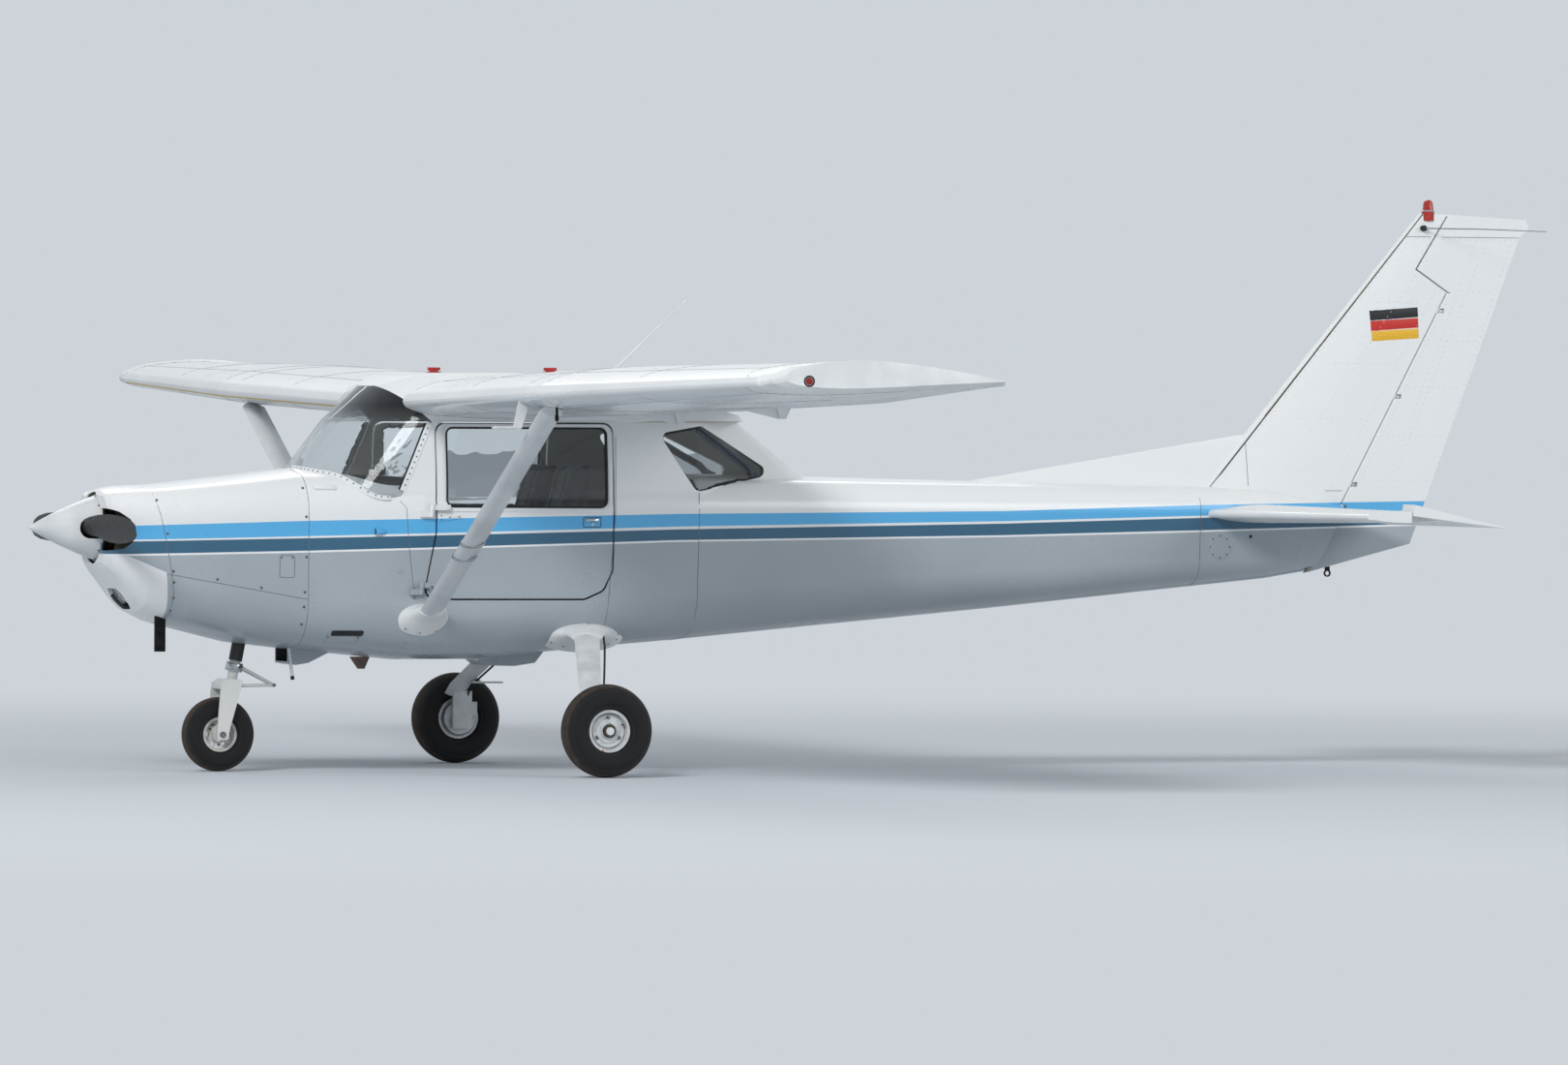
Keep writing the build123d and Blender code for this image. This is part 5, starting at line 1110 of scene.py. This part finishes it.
down, upward = Vector((0, 0, -1)), Vector((0, 0, 1))
for side, word in ((-1, "left"), (1, "right")):
    surface = skin_of(["wing_" + word])
    heads, seams = [], []
    for way in (down, upward):
        for share in STRINGERS:
            for first, last in ((530, 2555), (2555, 4840)):
                heads += rivets(laid(surface, spanwise(side, first, last, share), way, 0.032))
        for rib in RIBS:
            heads += rivets(laid(surface, chordwise(side, rib, 0.06, 0.66), way, 0.036))
        seams += [seam(surface, chordwise(side, rib - 12, 0.01, 0.66), way, 0.04) for rib in SEAM_RIBS]
        for first, last in ((515, 2555), (2555, 4845)):
            seams.append(seam(surface, spanwise(side, first, last, 0.105), way, 0.08))
    piece("wing_rivets_" + word, heads, plain_paint, "airframe", 60)
    piece("wing_seams_" + word, seams, joint_shadow, "airframe")
    covers = []
    for out in COVER_SPOTS:
        spot, normal = lay(surface, wing_spot(side, out, 0.46), upward)
        covers.append(turned([(-1, 62), (1.6, 61), (2, 58), (2.2, 20)], spot, normal, 32))
    piece("wing_inspection_covers_" + word, covers, plain_paint, "airframe")
    tip = skin_of(["wing_tip_" + word, "wing_" + word])
    joint = [wing_spot(side, TIP_JOINT, share) for share in TIP_SCREWS]
    heads = screws(laid(tip, joint, down, 0.07) + laid(tip, joint, upward, 0.07), 0.0042)
    piece("tip_joint_screws_" + word, heads, plated_screw, "airframe")
    for kind, first, last in (("flap_", 600, 2520), ("aileron_", 2600, 4680)):
        panel = skin_of([kind + word])
        beads, heads = [], []
        for way in (down, upward):
            for k in range(BEADS_EACH):
                out = first + (last - first) * (k + 0.5) / BEADS_EACH
                run = laid(panel, chordwise(side, out, 0.83, 0.975), way, 0.03)
                if len(run) > 2:
                    beads.append(strip(run, 0.012, 0.0025))
            for share in (0.81, 0.99):
                heads += rivets(laid(panel, spanwise(side, first, last, share), way, 0.04))
        piece(kind + "beads_" + word, beads, plain_paint, kind + word, 60)
        piece(kind + "rivets_" + word, heads, plain_paint, kind + word, 60)
far_wing = skin_of(["wing_right"])
yellow = mottled("yellow_vinyl_tape", "#D9B42C", "#C9A524", 60, 2, 0.05, [("Roughness", 0.45)])
edge_line = laid(far_wing, [wing_spot(1, out, 0.012) for out in (560, 2550, 4840)], upward, 0.08)
piece("leading_edge_tape", [strip(edge_line, 0.012, 0.0006)], yellow, "airframe")


# Wing-tip lamps: a coloured glass in a dark round socket at each tip, red to port, green to starboard.
TIP_LAMPS = [
    # side, word for it, wing tip, glass, its darker tone, slot
    (-1, "port", "wing_tip_left", "#A81712", "#7C0F0C", "red_lens"),
    (1, "starboard", "wing_tip_right", "#0F7A4A", "#0A5936", "white_plastic"),
]
SOCKET = [(-2, 25), (0.1, 25), (0.3, 22), (0.1, 17), (-2, 17), (-2, 25)]
TIP_LENS = [(-1, 16.5), (0.1, 16.2), (0.2, 12), (0.3, 6), (0.3, 2)]
for side, word, tip_name, code, dark, slot in TIP_LAMPS:
    spot, normal = lay(skin_of([tip_name]), at(2030, side * 5600, 1800), inward(side))
    colour_glass = mottled("moulded_" + word + "_lens", code, dark, 14, 1.5, 0.05, [
        ("Roughness", 0.12), ("Transmission Weight", 0.25), ("Coat Weight", 0.5)])
    piece("tip_lamp_socket_" + word, [turned(SOCKET, spot, normal, 28)], black_trim, "airframe")
    piece("tip_lamp_lens_" + word, [turned(TIP_LENS, spot, normal, 28)], colour_glass, "airframe")


# Struts: streamlined aluminium tube, sprayed pale grey-white, with moulded cuffs at the foot. Two
# bright metal bands with rubber clips hold the pitot line against each strut.
strut_paint = mottled("gloss_paint_on_drawn_tube", "#D5D8DA", "#C3C7CA", 220, 1.5, 0.06, [
    ("Roughness", 0.32), ("Coat Weight", 0.3)])
dress(["strut_left", "strut_right"], strut_paint)
# half width and half thickness of the strut under a band, its run between ends, and its rise
BAND_HALF, BAND_THIN = 0.0568, 0.0226
STRUT_LONG = 2.1067
STRUT_FOOT, STRUT_TOP = 690, 1660
cuff_skin = skin_of(["strut_cuffs"])
for side, word in ((-1, "left"), (1, "right")):
    foot = at(1742, side * 480, STRUT_FOOT)
    run = (at(1748, side * 2350, STRUT_TOP) - foot).normalized()
    thick_way = run.cross(AFT).normalized()
    bands, clips = [], []
    for height in (1000, 1062):
        centre = foot + run * ((height - STRUT_FOOT) / (STRUT_TOP - STRUT_FOOT) * STRUT_LONG)
        feet = []
        for k in range(28):
            angle = 2 * math.pi * k / 28
            arm = AFT * math.cos(angle) * BAND_HALF + thick_way * math.sin(angle) * BAND_THIN
            out = AFT * math.cos(angle) / BAND_HALF + thick_way * math.sin(angle) / BAND_THIN
            feet.append((centre + arm, out.normalized()))
        bands.append(strip(feet, 0.022, 0.0022, True))
        spot = centre + AFT * 0.046 - thick_way * 0.012 * side
        clips.append(bar([spot - run * 0.018, spot + run * 0.018], [8, 8], 8))
    piece("strut_bands_" + word, bands, bright_metal, "airframe")
    piece("strut_clips_" + word, clips, black_trim, "airframe")
    feet = feet_at(cuff_skin, beside(oval(1731, 711, 124, 70, 10, 10), side, 900), inward(side))
    piece("cuff_screws_" + word, screws(feet, 0.0045), plated_screw, "airframe")
pitot_paint = mottled("white_paint_on_tube", "#D8DADB", "#C8CBCD", 40, 1.5, 0.05, [("Roughness", 0.36)])
dress(["pitot_tube"], pitot_paint)


# Tail: riveted skins over a light frame. The fin carries a plain three-band flag on each side, a round
# inspection cover sits ahead of the stabiliser, and the beacon stands on a metal base at the top.
fin_skin = skin_of(["fin"])
rudder_skin = skin_of(["rudder"])
FLAG = [(6519, 2148), (6763, 2168), (6771, 2018), (6532, 2004)]
BANDS = [("black", "#17181A"), ("red", "#C3261E"), ("gold", "#E3B021")]
BAND_WIDE = 0.0492
TAIL_OUT = 300
for number, (word, code) in enumerate(BANDS):
    film = mottled(word + "_vinyl_film", code, code, 60, 1.2, 0.02, [
        ("Roughness", 0.4), ("Coat Weight", 0.2)])
    share = (number + 0.5) / len(BANDS)
    (x0, z0), (x1, z1), (x2, z2), (x3, z3) = FLAG
    run = [(x0 + (x3 - x0) * share, z0 + (z3 - z0) * share), (x1 + (x2 - x1) * share, z1 + (z2 - z1) * share)]
    sheets = [strip(laid(fin_skin, beside(run, side, TAIL_OUT), inward(side), 0.015), BAND_WIDE, 0.0012)
              for side in (-1, 1)]
    piece("flag_band_" + word, sheets, film, "airframe")
FIN_ROWS = [
    [(6033, 1316), (6749, 2314)], [(5950, 1560), (6690, 2470)], [(6330, 1316), (6880, 2290)],
    [(5990, 1400), (6330, 1400)], [(6160, 1640), (6480, 1640)], [(6350, 1900), (6610, 1900)],
    [(6560, 2190), (6760, 2190)], [(6705, 2490), (6850, 2490)], [(6450, 2030), (6660, 2030)],
]
RUDDER_ROWS = [
    [(6634, 1371), (7059, 2477)], [(6674, 1409), (7116, 2477)], [(6480, 1340), (6905, 2180)],
    [(6500, 1350), (6820, 1350)], [(6590, 1560), (6880, 1560)], [(6700, 1790), (6970, 1790)],
    [(6800, 2010), (7060, 2010)], [(6900, 2240), (7140, 2240)], [(6890, 2486), (7270, 2486)],
    [(6830, 1290), (7240, 2460)],
]
FIN_SEAMS = [[(6702, 2499), (6862, 2498)], [(5902, 1557), (5912, 1322)], [(6300, 1300), (6385, 1300)]]
RUDDER_SEAMS = [[(6887, 2497), (7285, 2497)]]
for name, body, skin, rows, laps in (
        ("fin", "airframe", fin_skin, FIN_ROWS, FIN_SEAMS),
        ("rudder", "rudder", rudder_skin, RUDDER_ROWS, RUDDER_SEAMS)):
    heads, seams = [], []
    for side in (-1, 1):
        for run in rows:
            heads += rivets(laid(skin, beside(run, side, TAIL_OUT), inward(side), 0.03))
        seams += [seam(skin, beside(run, side, TAIL_OUT), inward(side), 0.03) for run in laps]
    piece(name + "_rivets", heads, skin_paint, body, 60)
    piece(name + "_seams", seams, joint_shadow, body)
COVER = (5735, 1037)
COVER_SCREWS_R = 51
covers, cover_screws, hole_shades = [], [], []
for side in (-1, 1):
    spot, normal = lay(fuselage, beside([COVER], side)[0], inward(side))
    covers.append(turned([(-3, 60), (1.2, 59), (1.8, 56), (1.8, 20)], spot, normal, 40))
    ring = oval(*COVER, COVER_SCREWS_R, COVER_SCREWS_R, 8)
    cover_screws += feet_at(fuselage, beside(ring, side), inward(side), 0.0016)
    # a black disc at each static hole is painted shade for the dark inside of the hole
    spot, normal = lay(fuselage, at(5895, side * CLEAR_OUT, 1085), inward(side))
    hole_shades.append(turned([(-2, 9), (1, 8), (0.6, 4)], spot, normal, 20))
piece("tail_inspection_covers", covers, skin_paint, "airframe")
piece("tail_cover_screws", screws(cover_screws, 0.0042), plated_screw, "airframe")
piece("tail_static_holes", hole_shades, black_trim, "airframe")
# the tailplane's leading edge at the middle and how far it sweeps back over its half span
TAIL_FRONT, TAIL_SWEEP, TAIL_HALF, TAIL_BACK = 5640, 300, 1524, 6620
TAIL_HEIGHT = 1192


def tail_spot(side, out, share):
    """A point at the tailplane's height, at a distance out and a share of the chord there."""
    front = TAIL_FRONT + TAIL_SWEEP * out / TAIL_HALF
    return at(front + share * (TAIL_BACK - front), side * out, TAIL_HEIGHT)


for name, body, leading, trailing in (
        ("stabiliser", "airframe", 0.03, 0.60), ("elevator", "elevator", 0.72, 0.97)):
    panel = skin_of([name])
    heads, beads = [], []
    for side in (-1, 1):
        for way in (down, upward):
            for share in (leading + 0.03, (leading + trailing) / 2, trailing):
                heads += rivets(laid(panel, [tail_spot(side, y, share) for y in (150, 1350)], way, 0.034))
            for y in (200, 420, 640, 860, 1080, 1300):
                run = laid(panel, [tail_spot(side, y, share) for share in (leading, trailing)], way, 0.034)
                heads += rivets(run)
                if name == "elevator" and len(run) > 2:
                    middle = [(foot + Vector((0, 0.06, 0)), normal) for foot, normal in run]
                    beads.append(strip([m for m in middle if abs(m[0].y) < 1.36], 0.012, 0.0022))
    piece(name + "_rivets", heads, plain_paint, body, 60)
    if beads:
        piece("elevator_beads", [b for b in beads if b[0]], plain_paint, "elevator", 60)
red_glass = mottled("moulded_red_lens", "#A81E12", "#D2321C", 18, 1.5, 0.05, [
    ("Roughness", 0.14), ("Transmission Weight", 0.3), ("Coat Weight", 0.5)])
dress(["beacon"], red_glass)
BEACON_BASE = [(8, 30.4), (8, 31), (12, 31), (14, 28.6), (14, 27.6), (8, 30.4)]
base = turned(BEACON_BASE, at(6822, 0, 2610), upward, 36)
piece("beacon_base", [base], bright_metal, "airframe")
root = at(6790, 0, 2538)
knob = [turned([(-44, 12), (-38, 14), (38, 14), (44, 12)], root, (0, 1, 0), 20)]
piece("whisker_aerial_roots", knob, black_trim, "airframe")
steel_wire = mottled("stainless_spring_wire", "#9DA1A4", "#7F8386", 20, 1, 0.02, [
    ("Metallic", 1.0), ("Roughness", 0.3)])
whiskers = [bar([root + Vector((0, side * 0.04, 0)), at(7010, side * 268, 2533), at(7222, side * 500, 2522)],
                [3.2, 2.6, 1.8], 8) for side in (-1, 1)]
piece("whisker_aerials", whiskers, steel_wire, "airframe")
foot, end = at(2704, 0, 1763), at(3150, 0, 2177)
whip = [foot, foot + (end - foot) * 0.35, foot + (end - foot) * 0.7, end]
piece("whip_aerial", [bar(whip, [6.5, 5.4, 4.2, 3.2], 10)], white_plastic, "airframe")
boss = turned([(-12, 26), (4, 24), (14, 12), (24, 8)], foot, (0.12, 0, 0.99), 24)
piece("whip_aerial_foot", [boss], black_trim, "airframe")


# Tyres: moulded black rubber with ribs at the bead and shoulder, grooved and dusty brown where it has
# run on the ground. One material serves all three, by each tyre's own width and radius.
rubber, tree = blank("moulded_tyre_rubber")
place = node(tree, "ShaderNodeTexCoord")
middle = node(tree, "ShaderNodeVectorMath", [("operation", "SUBTRACT"), (1, (0.5, 0.5, 0.5))], [
    (0, place, "Generated")])
part = node(tree, "ShaderNodeSeparateXYZ", [], [(0, middle, 0)])
x_square = node(tree, "ShaderNodeMath", [("operation", "MULTIPLY")], [(0, part, "X"), (1, part, "X")])
z_square = node(tree, "ShaderNodeMath", [("operation", "MULTIPLY_ADD")], [
    (0, part, "Z"), (1, part, "Z"), (2, x_square, 0)])
radius = node(tree, "ShaderNodeMath", [("operation", "SQRT")], [(0, z_square, 0)])
tread = node(tree, "ShaderNodeMapRange", [(1, 0.455), (2, 0.475)], [(0, radius, 0)])
groove = node(tree, "ShaderNodeMath", [("operation", "PINGPONG"), (1, 0.08)], [(0, part, "Y")])
cut = node(tree, "ShaderNodeMapRange", [(1, 0.0), (2, 0.022)], [(0, groove, 0)])
dust = node(tree, "ShaderNodeTexNoise", [("Scale", 38.0), ("Detail", 6.0)], [("Vector", place, "Object")])
dusty = node(tree, "ShaderNodeMath", [("operation", "MULTIPLY")], [(0, dust, 0), (1, tread, 0)])
colour = node(tree, "ShaderNodeMix", [("data_type", "RGBA"), (6, srgb("#1D1D1E")), (7, srgb("#54493F"))], [
    (0, dusty, 0)])
dark = node(tree, "ShaderNodeMath", [("operation", "MULTIPLY")], [(0, cut, 0), (1, tread, 0)])
grit = node(tree, "ShaderNodeTexNoise", [("Scale", 420.0), ("Detail", 3.0)], [("Vector", place, "Object")])
fine = node(tree, "ShaderNodeBump", [("Strength", 0.25), ("Distance", 0.0008)], [("Height", grit, 0)])
ribs = node(tree, "ShaderNodeBump", [("Strength", 0.8), ("Distance", 0.004)], [
    ("Height", dark, 0), ("Normal", fine, 0)])
tyre = node(tree, "ShaderNodeBsdfPrincipled", [("Roughness", 0.78), ("Specular IOR Level", 0.35)], [
    ("Base Color", colour, 2), ("Normal", ribs, 0)])
node(tree, "ShaderNodeOutputMaterial", [], [("Surface", tyre, 0)])
dress(["main_tyre_left", "main_tyre_right", "nose_tyre"], rubber)


def tyre_ribs(name, middle, radii, body):
    """Raised rings on both walls of a tyre."""
    wall = skin_of([name])
    rings = []
    for side in (-1, 1):
        for radius in radii:
            found = [lay(wall, middle + Vector((r / 1000, side * 0.3, 0)), inward(side))[0].y - middle.y
                     for r in (radius - 3, radius, radius + 3)]
            low, mid, high = [abs(v) * 1000 for v in found]
            rings.append(turned([(low - 0.4, radius - 3), (mid + 1.6, radius - 1), (mid + 1.6, radius + 1),
                                 (high - 0.4, radius + 3), (mid - 2, radius), (low - 0.4, radius - 3)],
                                middle, (0, side, 0), 96))
    piece(name + "_wall_ribs", rings, rubber_wall, body, 60)


rubber_wall = mottled("moulded_rubber_wall", "#202021", "#18181A", 25, 1.2, 0.1, [("Roughness", 0.7)])
NOSE_HUB = at(900, 0, 170)
MAIN_HUBS = {side: at(2395, side * 1160, 212) for side in (-1, 1)}
tyre_ribs("nose_tyre", NOSE_HUB, (96, 150), "nose_wheel")
for side, word in ((-1, "left"), (1, "right")):
    tyre_ribs("main_tyre_" + word, MAIN_HUBS[side], (110, 182, 190), "main_wheel_" + word)


# Wheels: cast alloy rims in silver paint, each with a stepped outer face, a pressed hub cap, three
# through-bolts and a valve; a red slip mark crosses rim and tyre. The nose rim is painted white.
rim_paint = mottled("silver_paint_on_cast_alloy", "#D9DBDC", "#C4C6C7", 28, 1.6, 0.1, [
    ("Metallic", 0.25), ("Roughness", 0.36)])
white_rim = mottled("white_paint_on_cast_alloy", "#D4D6D6", "#B9B7B0", 30, 1.6, 0.1, [("Roughness", 0.4)])
dress(["main_rim_left", "main_rim_right"], rim_paint)
dress(["nose_rim"], white_rim)
hub_bronze = mottled("greased_bearing_cap", "#6F655A", "#4B443D", 16, 1.2, 0.15, [
    ("Metallic", 0.8), ("Roughness", 0.4)])
slip_red = mottled("brushed_red_enamel", "#B0281E", "#8F211A", 6, 1, 0.05, [("Roughness", 0.45)])
# sections of the turned pieces: distance out from the wheel's middle and radius, in millimetres
RIM_FACE = [(15, 78), (24, 76), (30, 74), (24, 66), (24, 56), (31, 53), (31, 40), (40, 37), (46, 34.4),
            (46, 33), (14, 33), (14, 78), (15, 78)]
RIM_LIP = [(46, 93), (50.5, 95), (50.5, 96.6), (47, 97.4), (46, 93)]
HUB_CAP = [(40, 33), (47.5, 31), (53, 26), (54, 14), (53, 12)]
NOSE_LIP = [(20, 72), (26, 74), (34, 78), (38.5, 79.5), (38.5, 77), (36, 74), (28, 68), (22, 66), (20, 72)]
NOSE_BEARING = [(14, 30), (30, 29), (36, 26), (36, 20), (14, 20), (14, 30)]
SLIP_ANGLE = math.radians(250)


def hexagon(spot, way, across, high):
    """A bolt's head, by the radius to its corners and its height in millimetres."""
    return turned([(-1, across), (high * 0.8, across), (high, across * 0.85)], spot, way, 6)


for side, word in ((-1, "left"), (1, "right")):
    body = "main_wheel_" + word
    middle = MAIN_HUBS[side]
    out = Vector((0, side, 0))
    disc = [turned(section, middle, out, 64) for section in (RIM_FACE, RIM_LIP)]
    piece("rim_face_" + word, disc, rim_paint, body, 30)
    piece("hub_cap_" + word, [turned(HUB_CAP, middle, out, 40)], hub_bronze, body)
    bolts = []
    for k in range(3):
        angle = math.radians(90 + 120 * k)
        spot = middle + Vector((math.cos(angle) * 0.060, side * 0.0245, math.sin(angle) * 0.060))
        bolts.append(hexagon(spot, out, 7.5, 6))
        bolts.append(turned([(-1, 10), (1, 10), (1.4, 8)], spot, out, 18))
    bolts.append(hexagon(middle + out * 0.053, out, 12, 6))
    piece("rim_bolts_" + word, bolts, plated_screw, body, 25)
    valve = middle + Vector((0.066, side * 0.024, 0.028))
    stem = bar([valve, valve + out * 0.018, valve + out * 0.024], [3.5, 3.5, 3.0], 10)
    piece("valve_" + word, [stem], black_trim, body)
    spot = middle + Vector((math.cos(SLIP_ANGLE) * 0.0965, side * 0.0505, math.sin(SLIP_ANGLE) * 0.0965))
    stroke = bar([spot - Vector((0.002, 0, 0.006)), spot + Vector((0.002, 0, 0.006))], [4, 4], 8)
    piece("slip_mark_" + word, [stroke], slip_red, body)
cap_parts, nose_bolts = [], []
for side in (-1, 1):
    out = Vector((0, side, 0))
    cap_parts += [turned(NOSE_LIP, NOSE_HUB, out, 48), turned(NOSE_BEARING, NOSE_HUB, out, 36)]
    for k in range(3):
        angle = math.radians(30 + 120 * k)
        arm = Vector((math.cos(angle) * 0.047, side * 0.0135, math.sin(angle) * 0.047))
        nose_bolts.append(hexagon(NOSE_HUB + arm, out, 6, 6))
piece("nose_rim_lips", cap_parts, white_rim, "nose_wheel", 30)
piece("nose_rim_bolts", nose_bolts, plated_screw, "nose_wheel", 25)


# Main legs: tapered spring steel, sprayed white, with a moulded sleeve over the root, a step behind,
# and the brake's hose tied along the leg to the caliper.
leg_paint = mottled("white_paint_on_spring_steel", "#DFE1E1", "#CBCDCD", 90, 1.5, 0.06, [
    ("Roughness", 0.36), ("Coat Weight", 0.2)])
dress(["main_leg_left", "main_leg_right"], leg_paint)
sleeves = skin_of(["leg_sleeves"])
HOSE_R = 5
HOSE = [
    # station, distance out, height, in millimetres
    (2584, 500, 662), (2552, 640, 585), (2500, 800, 492),
    (2446, 960, 398), (2420, 1040, 330), (2436, 1060, 268),
]
for side, word in ((-1, "left"), (1, "right")):
    hose = [at(x, side * y, z) for x, y, z in HOSE]
    piece("brake_hose_" + word, [bar(hose, [HOSE_R] * len(hose), 10)], black_trim, "airframe")
    step = [block((2412, side * 975 - 40, 378), (2560, side * 975 + 40, 386), 2)]
    piece("leg_step_" + word, step, leg_paint, "airframe")
    feet = feet_at(sleeves, beside(oval(2506, 628, 176, 56, 14, 8), side, 900), inward(side))
    piece("sleeve_screws_" + word, screws(feet, 0.005), plated_screw, "airframe")


# Nose gear: a dark steel oleo housing, a hard-chromed piston, a bright collar with the torque links, and
# a white painted fork with chipped edges.
housing_paint = mottled("dark_phosphated_steel", "#34373A", "#46413C", 40, 1.6, 0.08, [
    ("Metallic", 0.5), ("Roughness", 0.5)])
dress(["nose_housing"], housing_paint)
fork_paint, tree = blank("white_paint_chipped_to_steel")
place = node(tree, "ShaderNodeTexCoord")
chip = node(tree, "ShaderNodeTexNoise", [("Scale", 70.0), ("Detail", 6.0)], [("Vector", place, "Object")])
gone = node(tree, "ShaderNodeMapRange", [(1, 0.66), (2, 0.72)], [(0, chip, 0)])
colour = node(tree, "ShaderNodeMix", [("data_type", "RGBA"), (6, srgb("#D2D3D1")), (7, srgb("#857C72"))], [
    (0, gone, 0)])
flake = node(tree, "ShaderNodeBump", [("Strength", 0.3), ("Distance", 0.0005), ("invert", True)], [
    ("Height", gone, 0)])
fork = node(tree, "ShaderNodeBsdfPrincipled", [("Roughness", 0.42)], [
    ("Base Color", colour, 2), ("Normal", flake, 0)])
node(tree, "ShaderNodeOutputMaterial", [], [("Surface", fork, 0)])
dress(["nose_fork"], fork_paint)
chrome = mottled("hard_chromed_steel", "#C4C7CA", "#9FA3A7", 20, 1, 0.02, [
    ("Metallic", 1.0), ("Roughness", 0.12)])
low = at(967, 0, 428)
rise = (at(994, 0, 570) - low).normalized()
piston = turned([(73, 24.3), (74, 25), (84, 25), (85, 24.3), (73, 24.3)], low, rise, 40)
collar = turned([(32, 38.3), (34, 39.5), (66, 39.5), (68, 38.3), (32, 38.3)], low, rise, 40)
piece("oleo_chrome", [piston, collar], chrome, "nose_steer")
LINK_PINS = [
    # station, height and half length of each torque link's pin, in millimetres
    (1163, 394, 20), (988, 391, 31), (1002, 478, 36),
]
link_bolts = [hexagon(at(x, side * half, z), Vector((0, side, 0)), 8, 5)
              for x, z, half in LINK_PINS for side in (-1, 1)]
link_bolts += [hexagon(at(900, side * 86, 170), Vector((0, side, 0)), 15, 9) for side in (-1, 1)]
piece("nose_gear_bolts", link_bolts, plated_screw, "nose_steer", 25)
